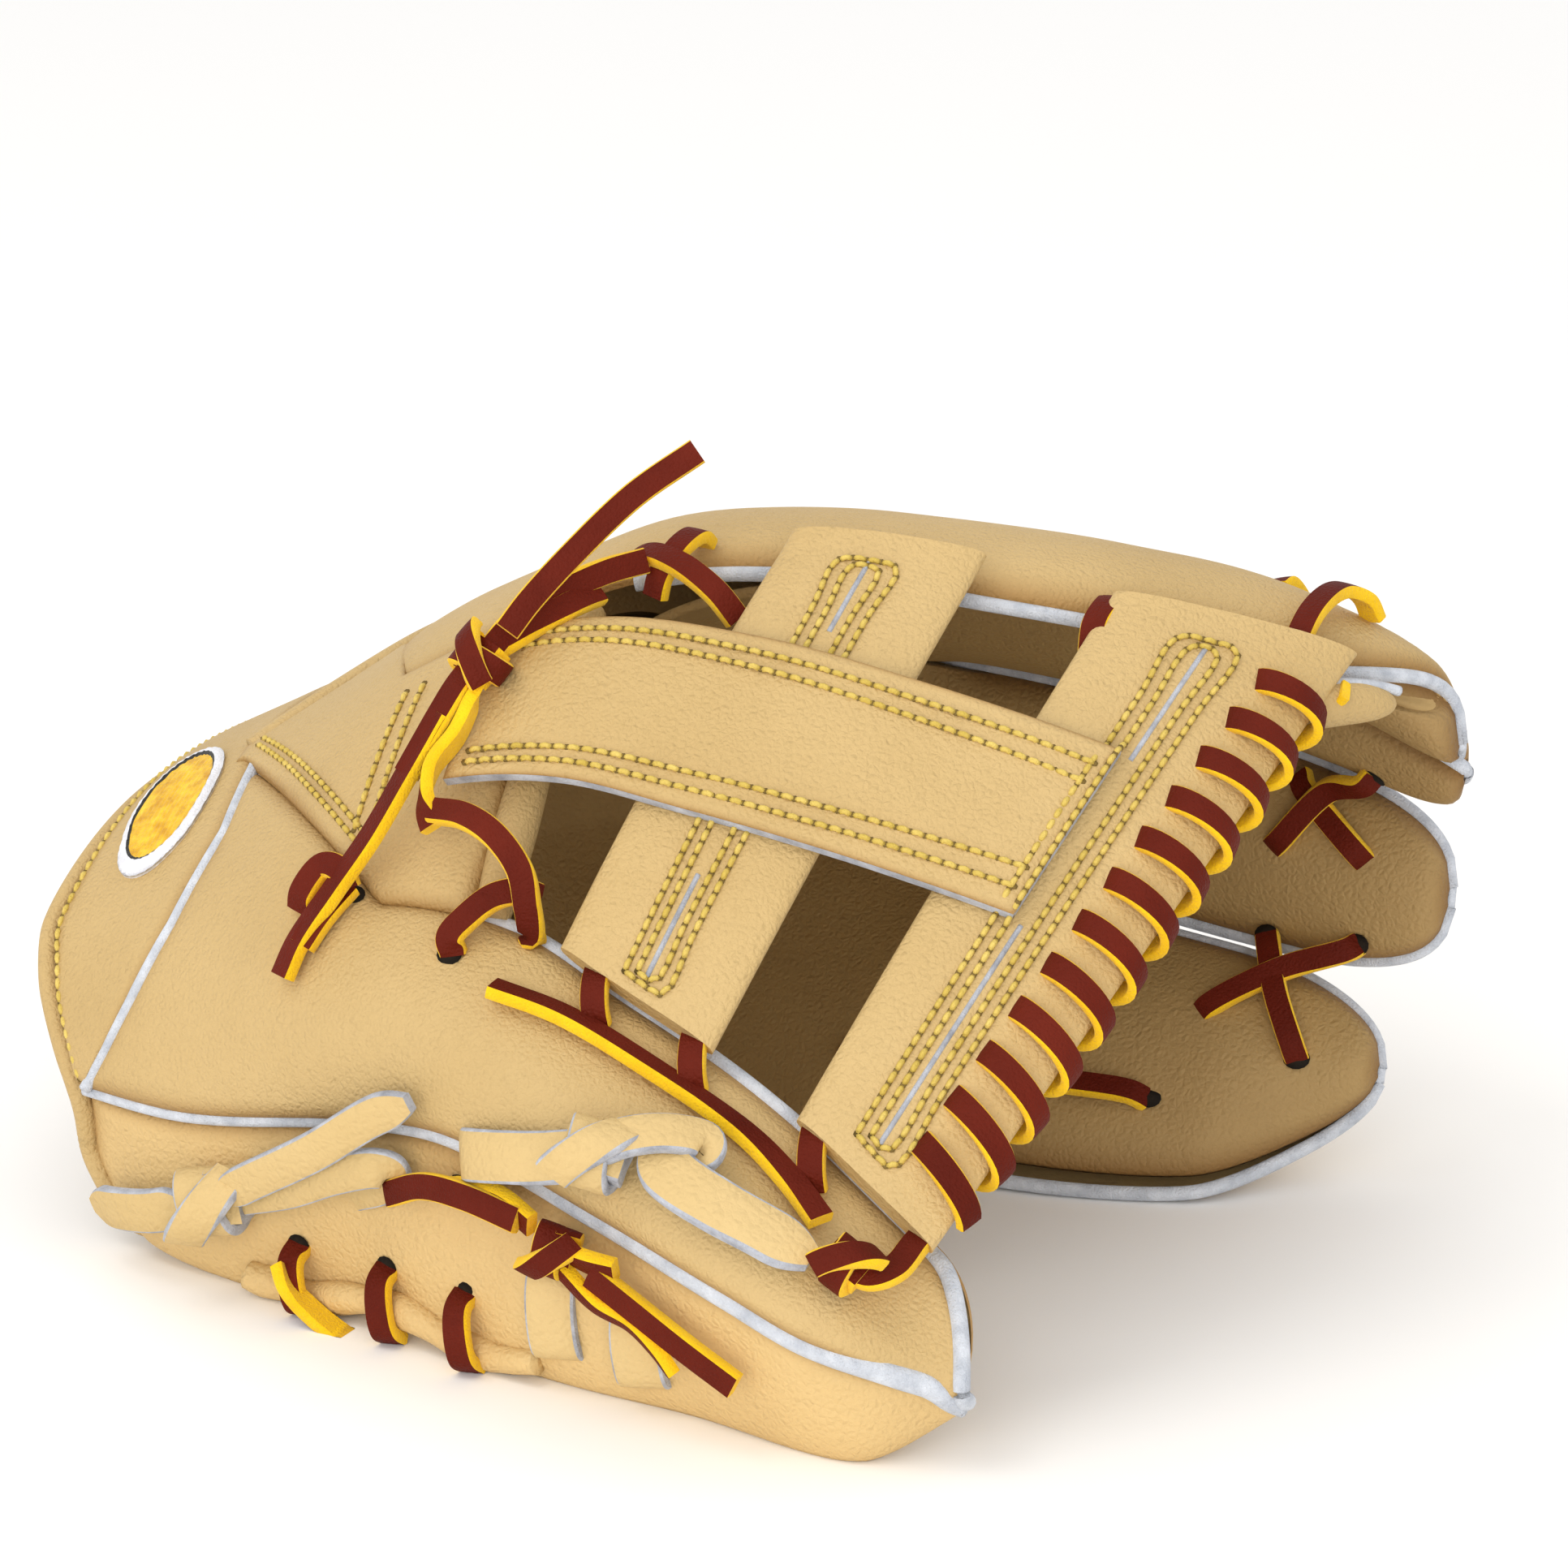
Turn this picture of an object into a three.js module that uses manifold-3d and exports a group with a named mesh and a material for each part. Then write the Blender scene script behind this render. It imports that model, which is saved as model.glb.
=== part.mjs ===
// Left-hand fielder's glove with a bar-and-post web, standing palm down on its thumb and pinky edges.
// Millimetres. +X runs from the heel to the fingertips, +Y from the thumb side to the pinky side,
// +Z up through the back of the hand. The origin is at the middle of the base of the glove's box.
import * as THREE from 'three';
import { mergeVertices } from 'three/addons/utils/BufferGeometryUtils.js';
import Module from 'manifold-3d';

const wasm = await Module();
wasm.setup();

// ---------- driving dimensions ----------
const LEATHER = 2.6;          // thickness of the shell leather
const WELT_THICK = 1.4;       // folded welt between two leathers
const LACE_WIDTH = 5;
const LACE_THICK = 2.4;
const GAP = 0.45;             // clearance between pieces that touch
const HAND_DEPTH = 27;        // room for the hand between the palm and the back
const KNUCKLE_X = -58;        // front edge of the open back
const FORK_X = 20;            // where the palm divides into finger fronts
const HAND_FRONT_X = -75;     // from here on the two faces close towards each other
const FRONT_SWELL = 7;        // how far each finger's palm side bulges
const THONG = 7.5;            // width of the leather thongs
const EMBLEM_HALF = 10.5;     // half the emblem's length along the glove
const EMBLEM_THICK = 1.8;
const OPENING_BINDING_R = 2.2;
const WRIST_BINDING_R = 2.6;
const CROTCH_ROLL_R = 3.8;
const ORIGIN = [6.2, -45.8, 0]; // middle of the base, taken off every coordinate below

// ---------- guide rails: seams that run from the heel to the fingertips, as [x, y, z] ----------
const RAILS = [
  // ground edge of the thumb
  [[-113, -97, 13], [-84, -110, 3], [-50, -115, 1], [-8, -129, 1], [32, -137, 1], [66, -144, 1], [84,
    -134, 6]],
  // outer welt of the thumb
  [[-113, -102, 32], [-80, -112, 33], [-38, -122, 41], [-16, -129, 43], [17, -138, 35], [43, -146, 28],
    [60, -148, 22], [84, -140, 14]],
  // inner (web side) welt of the thumb
  [[-122, -86, 56], [-113, -87, 58], [-80, -97, 65], [-42, -101, 76], [-13, -105, 75], [10, -110, 66],
    [31, -114, 57],
    [48, -118, 48], [66, -125, 38], [84, -132, 28]],
  // near edge of the index finger
  [[-122, -58, 70], [-113, -56, 76], [-80, -60, 90], [-50, -62, 108], [-15, -52, 126], [23, -44, 129],
    [57, -38, 125],
    [90, -30, 119], [120, -20, 110], [138, -12, 100]],
  // between index and middle fingers
  [[-122, -18, 72], [-113, -16, 78], [-80, -16, 95], [-50, -8, 112], [-15, 6, 121], [40, 13, 119], [90,
    14, 112],
    [138, 6, 92]],
  // between middle and ring fingers
  [[-122, 18, 64], [-113, 22, 70], [-80, 27, 84], [-50, 36, 93], [-15, 42, 95], [40, 42, 92], [90, 36,
    85], [140, 24, 75]],
  // between ring and pinky fingers
  [[-122, 36, 42], [-113, 40, 44], [-80, 46, 48], [-50, 48, 50], [-15, 46, 48], [40, 38, 46], [90, 28,
    42], [140, 16, 40]],
  // ground edge of the pinky finger
  [[-113, 30, 5], [-80, 30, 0.8], [-50, 18, 0.8], [-15, -3, 0.8], [40, -20, 0.8], [90, -14, 0.8], [112,
    2, 6],
    [130, 8, 15]],
];

// Cubic curve through points of rising x, as a function of x.
function along(points) {
  return (x) => {
    const last = points.length - 1;
    let i = 0;
    while (i < last - 1 && x > points[i + 1][0]) i++;
    const slope = (k, c) => {
      const a = points[Math.max(k - 1, 0)];
      const b = points[Math.min(k + 1, last)];
      return (b[c] - a[c]) / (b[0] - a[0]);
    };
    const [p, q] = [points[i], points[i + 1]];
    const width = q[0] - p[0];
    const t = (x - p[0]) / width;
    return [1, 2].map((c) => {
      const [m, n] = [slope(i, c) * width, slope(i + 1, c) * width];
      return (2 * t ** 3 - 3 * t ** 2 + 1) * p[c] + (t ** 3 - 2 * t ** 2 + t) * m
        + (3 * t ** 2 - 2 * t ** 3) * q[c] + (t ** 3 - t ** 2) * n;
    });
  };
}
const rails = RAILS.map(along);
const clamp = (v, lo, hi) => Math.min(Math.max(v, lo), hi);
const mix = (a, b, t) => a + (b - a) * t;
const ramp = (x, from, to) => {
  const t = clamp((x - from) / (to - from), 0, 1);
  return t * t * (3 - 2 * t);
};

// Smooth section through the rails at one x: s counts the rails from the thumb edge (0) to the pinky
// edge (7).
function section(x, s, table = rails) {
  const n = table.length - 1;
  const k = clamp(Math.floor(s), 0, n - 1);
  const t = s - k;
  const at = (i) => table[clamp(i, 0, n)](x);
  const [a, b, c, d] = [at(k - 1), at(k), at(k + 1), at(k + 2)];
  const m = (i) => (k === 0 ? c[i] - b[i] : (c[i] - a[i]) / 2);
  const o = (i) => (k === n - 1 ? c[i] - b[i] : (d[i] - b[i]) / 2);
  return [0, 1].map((i) => (2 * t ** 3 - 3 * t ** 2 + 1) * b[i] + (t ** 3 - 2 * t ** 2 + t) * m(i)
    + (3 * t ** 2 - 2 * t ** 3) * c[i] + (t ** 3 - t ** 2) * o(i));
}
// Point on the glove's outline, raised by h along the outward normal of the section.
function skin(x, s, h = 0, table = rails) {
  const [y, z] = section(x, s, table);
  const [y0, z0] = section(x, s - 0.02, table);
  const [y1, z1] = section(x, s + 0.02, table);
  const length = Math.hypot(y1 - y0, z1 - z0);
  return new THREE.Vector3(x, y - (z1 - z0) / length * h, z + (y1 - y0) / length * h);
}

// ---------- solids ----------
const place = (p) => new THREE.Vector3(p.x - ORIGIN[0], p.y - ORIGIN[1], p.z - ORIGIN[2]);

function solidFromGrids(top, bottom) {
  const rows = top.length;
  const cols = top[0].length;
  const positions = [];
  for (const grid of [top, bottom]) {
    for (const p of grid.flat()) positions.push(...place(p).toArray());
  }
  const id = (side, i, j) => side * rows * cols + i * cols + j;
  const index = [];
  const quad = (a, b, c, d) => index.push(a, b, c, a, c, d);
  for (let i = 0; i < rows - 1; i++) {
    for (let j = 0; j < cols - 1; j++) {
      quad(id(0, i, j), id(0, i + 1, j), id(0, i + 1, j + 1), id(0, i, j + 1));
      quad(id(1, i, j), id(1, i, j + 1), id(1, i + 1, j + 1), id(1, i + 1, j));
    }
    quad(id(0, i, 0), id(1, i, 0), id(1, i + 1, 0), id(0, i + 1, 0));
    quad(id(0, i + 1, cols - 1), id(1, i + 1, cols - 1), id(1, i, cols - 1), id(0, i, cols - 1));
  }
  for (let j = 0; j < cols - 1; j++) {
    quad(id(0, 0, j + 1), id(1, 0, j + 1), id(1, 0, j), id(0, 0, j));
    quad(id(0, rows - 1, j), id(1, rows - 1, j), id(1, rows - 1, j + 1), id(0, rows - 1, j + 1));
  }
  const geometry = new THREE.BufferGeometry();
  geometry.setAttribute('position', new THREE.Float32BufferAttribute(positions, 3));
  geometry.setIndex(index);
  return facingOut(geometry);
}

function volume(geometry) {
  const p = geometry.attributes.position;
  const at = (i) => new THREE.Vector3().fromBufferAttribute(p, geometry.index.getX(i));
  let sum = 0;
  for (let i = 0; i < geometry.index.count; i += 3) sum += at(i).dot(at(i + 1).cross(at(i + 2)));
  return sum / 6;
}
function facingOut(geometry) {
  if (volume(geometry) < 0) {
    const order = Array.from(geometry.index.array);
    for (let i = 0; i < order.length; i += 3) [order[i], order[i + 1]] = [order[i + 1], order[i]];
    geometry.setIndex(order);
  }
  return geometry;
}

// Sheet of leather: point(t, v, h) gives its surface, h above its middle; the solid runs from low to high.
const spread = (n, f = (t) => t) => Array.from({ length: n + 1 }, (_, i) => f(i / n));
function sheet(point, low, high, rows, columns, floors = [LEATHER, 0]) {
  const grid = (h, floor) => spread(rows, (t) => spread(columns, (v) => {
    const p = point(t, v, h);
    return new THREE.Vector3(p.x, p.y, Math.max(p.z, floor));
  }));
  return solidFromGrids(grid(high, floors[1]), grid(low, floors[0]));
}

// Flat lace along a curve, its wide side facing the given direction at every step.
function lace(points, up, width = LACE_WIDTH, thick = LACE_THICK, steps = 3) {
  const curve = new THREE.CatmullRomCurve3(points, false, 'centripetal');
  const count = Math.round((points.length - 1) * steps);
  const rings = spread(count, (t) => {
    const p = curve.getPoint(t);
    const tangent = curve.getTangent(t);
    const facing = typeof up === 'function' ? up(p, t) : up;
    const side = facing.clone().cross(tangent).normalize();
    return { p, side, normal: tangent.clone().cross(side).normalize() };
  });
  const edge = (h) => rings.map(({ p, side, normal }) => [-1, 1].map((k) => p.clone()
    .addScaledVector(side, k * width / 2).addScaledVector(normal, h)));
  return solidFromGrids(edge(thick / 2), edge(-thick / 2));
}
// Round cord or roll along a curve.
function roll(points, radius, steps, sides = 8) {
  const curve = new THREE.CatmullRomCurve3(points.map(place), false, 'centripetal');
  const shape = new THREE.Shape(spread(sides - 1, (t) => t * (sides - 1) / sides).map((t) => (
    new THREE.Vector2(radius * Math.cos(t * 2 * Math.PI), radius * Math.sin(t * 2 * Math.PI)))));
  return new THREE.ExtrudeGeometry(shape, { extrudePath: curve, steps, bevelEnabled: false });
}

// ---------- booleans ----------
function toSolid(geometry) {
  const bare = geometry.clone();
  for (const key of ['normal', 'uv']) bare.deleteAttribute(key);
  const merged = mergeVertices(bare, 1e-4);
  return new wasm.Manifold(new wasm.Mesh({
    numProp: 3,
    vertProperties: new Float32Array(merged.attributes.position.array),
    triVerts: new Uint32Array(merged.index.array),
  }));
}
function toGeometry(solid) {
  const mesh = solid.getMesh();
  const geometry = new THREE.BufferGeometry();
  geometry.setAttribute('position', new THREE.Float32BufferAttribute(mesh.vertProperties, 3));
  geometry.setIndex(Array.from(mesh.triVerts));
  return geometry;
}
const cut = (geometry, ...tools) => toGeometry(tools.reduce((s, t) => s.subtract(toSolid(t)),
  toSolid(geometry)));
const join = (...geometries) => toGeometry(geometries.map(toSolid).reduce((a, b) => a.add(b)));

// ---------- materials ----------
const material = (color, roughness) => new THREE.MeshStandardMaterial({ color, roughness, metalness: 0 });
const MATERIALS = {
  leather: material(0xe3c589, 0.62),
  palm: material(0xdcbc80, 0.6),
  welt: material(0xc4c8cf, 0.9),
  lace: material(0x6b2a1c, 0.55),
  tanLace: material(0xe0c184, 0.6),
  lining: material(0xc9a468, 0.75),
  padding: material(0xd9d3c6, 0.95),
  stay: material(0x8c8f94, 0.5),
  emblem: material(0xd9a520, 0.8),
};

const glove = new THREE.Group();
function add(name, kind, geometry) {
  const mesh = new THREE.Mesh(geometry, MATERIALS[kind]);
  mesh.name = name;
  glove.add(mesh);
}

// ---------- finger stalls ----------
// Each finger: its two rails, the x of its tip, where the tip starts to round, and how far its two
// faces swell.
const FINGERS = {
  index: { from: 3, to: 4, tip: 133, round: 100, back: 3, front: FRONT_SWELL },
  middle: { from: 4, to: 5, tip: 138, round: 104, back: 10, front: FRONT_SWELL },
  ring: { from: 5, to: 6, tip: 134, round: 98, back: 10, front: FRONT_SWELL },
  pinky: { from: 6, to: 7, tip: 124, round: 84, back: 10, front: FRONT_SWELL },
};
const SEAM = 0.045;           // share of a finger's width kept clear beside a seam
const TIP_LEAST = 0.13;       // width that is left at the very tip, as a share
const UNDER = WELT_THICK / 2 + GAP;
const handRoom = (x) => HAND_DEPTH * (1 - ramp(x, HAND_FRONT_X, FORK_X));
const fingerRoom = (x) => ramp(x, KNUCKLE_X, FORK_X + 10);
const swell = (v) => 4 * v * (1 - v);
// Least heights above the ground of a sheet's inner and outer face, so that no seam goes through it.
const WELT_FLOORS = [4.4, 3];
const FRONT_FLOORS = [9.7, 7.2];
const PALM_FLOORS = [9.5, 7];

function tipShare(finger, x) {
  const t = clamp((x - finger.round) / (finger.tip - finger.round), 0, 1);
  return Math.max(Math.sqrt(1 - t * t), TIP_LEAST);
}
const tipSpacing = (finger, start, t) => mix(start, finger.tip,
  Math.sin(t * Math.PI / 2) * 0.45 + t * 0.55);
function fingerPoint(finger, x, v, h) {
  const share = tipShare(finger, x) * (1 - 2 * SEAM * ramp(x, HAND_FRONT_X, FORK_X));
  return skin(x, (finger.from + finger.to) / 2 + (v - 0.5) * share, h);
}
const backHeight = (finger, x, v) => mix(2, finger.back, fingerRoom(x)) * swell(v);
const frontDepth = (finger, x, v) => handRoom(x) + finger.front * fingerRoom(x) * swell(v);

// slack widens the face towards the welt, for cutting the welt clear of it.
function fingerBack(finger, start, slack = 0) {
  return sheet((t, v, h) => {
    const x = tipSpacing(finger, start(v), t);
    return fingerPoint(finger, x, v, backHeight(finger, x, v) + h);
  }, UNDER - slack, UNDER + LEATHER, 13, 5, [LEATHER - 0.4 - slack, 0]);
}
function fingerFront(finger) {
  return sheet((t, v, h) => {
    const x = tipSpacing(finger, FORK_X - 2, t);
    return fingerPoint(finger, x, v, h - frontDepth(finger, x, v));
  }, -UNDER - LEATHER, -UNDER - 0.1, 9, 5, FRONT_FLOORS);
}
// Folded welt round the rim of a finger: up one side, round the tip, down the other.
function fingerWelt(finger, start, back = start) {
  const up = spread(13, (t) => ({ x: tipSpacing(finger, start, t), v: 0 }));
  const over = [0.25, 0.5, 0.75].map((v) => ({ x: finger.tip, v }));
  const down = spread(13, (t) => ({ x: tipSpacing(finger, back, 1 - t), v: 1 }));
  const path = [...up, ...over, ...down];
  return sheet((t, c, h) => {
    const { x, v } = path[Math.round(t * (path.length - 1))];
    const inset = mix(-0.035, 0.055, c);
    const beyond = x > finger.tip - 0.5 ? mix(1.2, -1.6, c) : 0;
    return fingerPoint(finger, x + beyond, v + (1 - 2 * v) * inset, h);
  }, -WELT_THICK / 2, WELT_THICK / 2, path.length - 1, 1, WELT_FLOORS);
}

// ---------- back of the hand ----------
// A line on the back, as [x, s] points; returns s for a given x.
function lineS(points) {
  return (x) => {
    let i = 0;
    while (i < points.length - 2 && x > points[i + 1][0]) i++;
    const [p, q] = [points[i], points[i + 1]];
    return mix(p[1], q[1], clamp((x - p[0]) / (q[0] - p[0]), 0, 1));
  };
}
const thumbTop = lineS([[-91, 2.98], [-42, 2.0], [0, 2.0]]);       // upper seam of the thumb panel
const crotchTop = lineS([[-91, 3.02], [-69, 3.6], [-55, 2.96], [0, 2.96]]);
const strapLine = lineS([[1, -103], [2, -95], [3, -92], [6, -92], [7,
  -90]]);  // x of the strap's front edge, by s
const wristLine = lineS([[0, -82], [1, -106], [1.6, -117], [2, -121], [3, -119], [6, -114], [7, -104]]);
const THUMB = { from: 1, to: 2, tip: 84, round: 60, back: 5 };

for (const [name, finger] of Object.entries(FINGERS)) {
  const start = { index: [-50, -65], middle: [-65, -63], ring: [-63, -66], pinky: [-90, -88] }[name];
  const startAt = (v) => mix(start[0], start[1], v);
  add(`${name}_back`, 'leather', fingerBack(finger, startAt));
  const welt = fingerWelt(finger, name === 'index' ? -12 : FORK_X, name === 'pinky' ? -85 : FORK_X);
  add(`${name}_welt`, 'welt', cut(welt, fingerBack(finger, startAt, 0.3)));
}
// Thumb panel: from the strap seam to the tip, outer welt to inner welt.
add('thumb_back', 'leather', sheet((t, v, h) => {
  const x = tipSpacing(THUMB, mix(-101, -90, v), t);
  const share = tipShare(THUMB, x) * 0.96;
  const s = mix(1, thumbTop(x), 0.5 + (v - 0.5) * share);
  return skin(x, s, THUMB.back * swell(v) * ramp(x, -95, -40) + h);
}, UNDER, UNDER + LEATHER, 14, 4));
add('crotch_panel', 'leather', sheet((t, v, h) => {
  const x = mix(-87, -24, t);
  return skin(x, mix(thumbTop(x) + 0.03, crotchTop(x), v), h);
}, UNDER, UNDER + LEATHER, 7, 3));

// Wrist strap over the back of the wrist, from the thumb panel to the pinky panel.
const strapPoint = (t, v, h) => {
  const s = mix(1.12, 6.2, t);
  return skin(mix(wristLine(s) + 1, strapLine(s) - 1, v), s, h);
};
add('wrist_strap', 'leather', sheet(strapPoint, UNDER, UNDER + LEATHER, 16, 2));
add('strap_welt', 'welt', sheet((t, v, h) => {
  const s = mix(1.1, 3.02, t);
  return skin(strapLine(s) + mix(-3.2, 2.0, v), s, h);
}, -WELT_THICK / 2 - 0.5, WELT_THICK / 2 - 0.5, 10, 1));
// Oval emblem sewn on the strap.
add('strap_emblem', 'emblem', sheet((t, v, h) => {
  const s = mix(1.75, 2.95, t);
  const half = EMBLEM_HALF * Math.sqrt(Math.max(1 - (2 * t - 1) ** 2, 0.06));
  const x = (wristLine(s) + strapLine(s)) / 2 + (v - 0.5) * 2 * half;
  return skin(x, s, h);
}, UNDER + LEATHER + GAP, UNDER + LEATHER + GAP + EMBLEM_THICK, 8, 2));
// Rolled binding round the open back.
const OPENING = [[-88, 3.25], [-80, 3.5], [-71, 3.82], [-70, 4.2], [-70, 4.8], [-70, 5.4], [-74, 5.8],
  [-86, 5.88]];
add('opening_binding', 'leather', roll(OPENING.map(([x, s]) => skin(x, s, 3)), OPENING_BINDING_R, 22, 7));

// ---------- palm leather ----------
function palmSheet(from, to, lowX, columns) {
  return sheet((t, v, h) => {
    const x = mix(lowX, FORK_X, t);
    const s = mix(from(x), to, v);
    const part = s - Math.floor(s);
    return skin(x, s, h - handRoom(x) - FRONT_SWELL * fingerRoom(x) * swell(part));
  }, -UNDER - LEATHER, -UNDER, 8, columns, PALM_FLOORS);
}
const foldS = (x) => mix(2.66, 3 + SEAM, ramp(x, -35, -8));
add('palm_centre', 'palm', join(
  palmSheet(foldS, 4.955, -112, 8),
  fingerFront(FINGERS.index),
  fingerFront(FINGERS.middle),
));
add('palm_pinky_side', 'palm', join(
  palmSheet(() => 5.045, 7 - SEAM, -106, 8),
  fingerFront(FINGERS.ring),
  fingerFront(FINGERS.pinky),
));
// The thumb's palm leather wraps from the pocket down to the ground edge and up to the outer welt.
const innerTop = (x) => {
  const p = skin(x, mix(2.58, 2.04, ramp(x, -38, -8)), -UNDER - LEATHER / 2 - HAND_DEPTH * (1 - ramp(x,
    HAND_FRONT_X, 0)));
  return [p.y, p.z];
};
const WRAP = [
  innerTop,
  along([[-113, -80, 34], [-80, -86, 36], [-50, -90, 40], [-20, -97, 42], [10, -105, 36], [31, -111, 31],
    [48, -116, 26], [66, -123, 21], [84, -130, 18]]),
  along([[-113, -90, 20], [-80, -94, 7], [-50, -97, 4], [-20, -107, 4], [10, -114, 4], [31, -120, 4],
    [48, -125, 5], [66, -131, 7], [84, -132, 13]]),
  rails[0],
  rails[1],
];
function wrapPoint(x, s, h) {
  return skin(x, s, h, WRAP);
}
const WRAP_TIP = { tip: 82, round: 58 };
add('palm_thumb_side', 'palm', sheet((t, v, h) => {
  const start = mix(-110, -100, v) + 22 * Math.sin(Math.PI * clamp(v * 1.15, 0, 1)) * ramp(v, 0.1, 0.6);
  const x = tipSpacing(WRAP_TIP, start, t);
  const s = mix(0.02, 3.9, v);
  const share = tipShare(WRAP_TIP, x);
  const p = wrapPoint(x, s, h);
  const c = wrapPoint(x, 2, 0).lerp(wrapPoint(x, 4, 0), 0.6);
  return c.lerp(p, mix(0.35, 1, share));
}, -LEATHER / 2, LEATHER / 2, 16, 12, [LEATHER, 0]));

// ---------- lining, padding and stays inside ----------
const innerSheet = (from, to, x0, x1, low, high, rows = 6, columns = 4) => sheet((t, v, h) => {
  const x = mix(x0, x1, t);
  return skin(x, mix(from, to, v), h - handRoom(x));
}, low, high, rows, columns, [14, 12]);
add('palm_pad', 'padding', innerSheet(3.15, 4.85, -104, -30, 0.5, 3.7));
add('palm_lining', 'lining', innerSheet(3.15, 4.85, -104, -30, 4.3, 5.4));
add('pinky_heel_pad', 'padding', innerSheet(5.15, 6.4, -98, -35, 0.6, 5.0));
const wrapInside = (s0, s1, x0, x1, low, high, rows = 8, columns = 3) => sheet((t, v, h) => (
  wrapPoint(mix(x0, x1, t), mix(s0, s1, v), h)), low, high, rows, columns, [LEATHER + 5, LEATHER + 0.6]);
add('thumb_heel_pad', 'padding', wrapInside(0.45, 1.7, -86, -20, -7, -LEATHER / 2 - 1, 8, 5));
add('thumb_stay', 'stay', wrapInside(3.22, 3.72, -50, 56, -4.2, -2.6, 10, 2));
add('pinky_stay', 'stay', sheet((t, v, h) => {
  const x = mix(-50, 95, t);
  const w = mix(0.3, 0.7, v);
  return fingerPoint(FINGERS.pinky, x, w, backHeight(FINGERS.pinky, x, w) + h);
}, -2.4, -0.8, 12, 2, [5.9, 4.3]));

// ---------- web between thumb and index finger ----------
// Web surface: a runs from the crotch (0) to the top edge (1), b from the thumb (0) to the index
// finger (1).
const WEB_LIFT = 6;
const WEB_BELLY = 3;
const WEB_THUMB_X = [-16, 80];    // x of the web's thumb side at a 0 and a 1
const WEB_INDEX_X = [-8, 124];    // and of its index side
const webThumbSide = (a) => skin(mix(...WEB_THUMB_X, a), 2, WEB_LIFT);
const webIndexSide = (a) => skin(mix(...WEB_INDEX_X, a), 3, WEB_LIFT);
function webPoint(a, b, h = 0) {
  const thumb = webThumbSide(a);
  const index = webIndexSide(a);
  const further = webThumbSide(a + 0.05).lerp(webIndexSide(a + 0.05), 0.5);
  const normal = index.clone().sub(thumb)
    .cross(further.sub(thumb.clone().lerp(index, 0.5))).negate().normalize();
  const belly = WEB_BELLY * 4 * clamp(b, 0, 1) * (1 - clamp(b, 0, 1));
  return thumb.lerp(index, b).addScaledVector(normal, belly + h);
}
function webDirections(a, b) {
  const d = 0.01;
  const forward = webPoint(a + d, b).sub(webPoint(a - d, b)).normalize();
  const across = webPoint(a, b + d).sub(webPoint(a, b - d)).normalize();
  return { forward, across, normal: across.clone().cross(forward).negate().normalize() };
}
// A part of the web: its a range at the first and last b, and its b range.
function webPiece(a0, a1, b0, b1, low, high, rows = 12, columns = 4) {
  return sheet((t, v, h) => webPoint(mix(mix(a0[0], a1[0], t), mix(a0[1], a1[1], t), v), mix(b0, b1, t), h),
    low, high, rows, columns);
}
const BAR_THICK = 5;
const POST_LOW = BAR_THICK + GAP;
add('web_lower_bar', 'leather', webPiece([0.15, 0.48], [0.19, 0.46], -0.01, 1.06, 0, BAR_THICK, 8, 2));
add('web_post', 'leather', sheet((t, v, h) => webPoint(mix(-0.15, 0.78, t),
  mix(mix(0.29, 0.42, t), mix(0.77, 0.73, t), v), h), POST_LOW, POST_LOW + LEATHER, 10, 3));

// Lace wound round the outer edge of the top bar, through a hole in the bar at every turn.
const TURNS = 12;
const TURN_STEPS = 6;
const WINDING_B = [0.05, 0.97];   // where the winding starts and ends along the bar
const WINDING_REACH = 7.6;        // half the loop's size across the bar's edge
const WINDING_HEIGHT = 5.2;       // and through its thickness
const WINDING_INSET = 0.035;
const barEdge = (b) => mix(0.95, 0.97, b);
const windPoints = spread(TURNS * TURN_STEPS, (t) => {
  const b = mix(...WINDING_B, t);
  const a = barEdge(b) - WINDING_INSET;
  const { forward, normal } = webDirections(a, b);
  const turn = t * TURNS * 2 * Math.PI;
  return webPoint(a, b, BAR_THICK / 2).addScaledVector(forward, WINDING_REACH * Math.cos(turn))
    .addScaledVector(normal, WINDING_HEIGHT * Math.sin(turn));
});
const windUp = (p, t) => {
  const b = mix(...WINDING_B, t);
  return p.clone().sub(webPoint(barEdge(b) - WINDING_INSET, b, BAR_THICK / 2));
};
const winding = (extra) => lace(windPoints, windUp, LACE_WIDTH + extra, LACE_THICK + extra, 1);
add('web_spiral_lace', 'lace', winding(0));
add('web_top_bar', 'leather', cut(
  webPiece([0.66, 0.96], [0.645, 0.97], -0.01, 1.03, 0, BAR_THICK, 10, 1), winding(0.7)));

// ---------- thumb welts and wrist binding ----------
add('thumb_welt', 'welt', fingerWelt(THUMB, -99, -38));
add('wrist_binding', 'leather', roll(spread(14, (t) => {
  const s = mix(0.75, 6.8, t);
  return skin(wristLine(s) - 3.4, s, 0.5);
}), WRIST_BINDING_R, 22, 7));
add('crotch_roll', 'leather', roll(spread(4, (t) => skin(-19, mix(2.12, 2.88, t), 1.5)), CROTCH_ROLL_R,
  6, 8));

// ---------- laces and knots ----------
// Surfaces that a lace lies on: each gives a point h above the leather.
function onBack(x, s, h) {
  const v = s < 2.5 ? (s - 1) / (thumbTop(x) - 1) : s - 3;
  const height = s < 2.5 ? THUMB.back * ramp(x, -95, -40) : FINGERS.index.back * fingerRoom(x);
  return skin(x, s, Math.max(height * swell(v), 0) + UNDER + LEATHER + h);
}
const onWrap = (x, s, h) => wrapPoint(x, s, LEATHER / 2 + h);
const LEAST_BULGE = 4;        // keeps a lace clear of the leather beside a seam
const onFront = (x, s, h) => {
  const v = s - Math.floor(s);
  const depth = handRoom(x) + Math.max(FRONT_SWELL * fingerRoom(x) * swell(v), LEAST_BULGE);
  return skin(x, s, -depth - UNDER - LEATHER - h);
};
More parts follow.
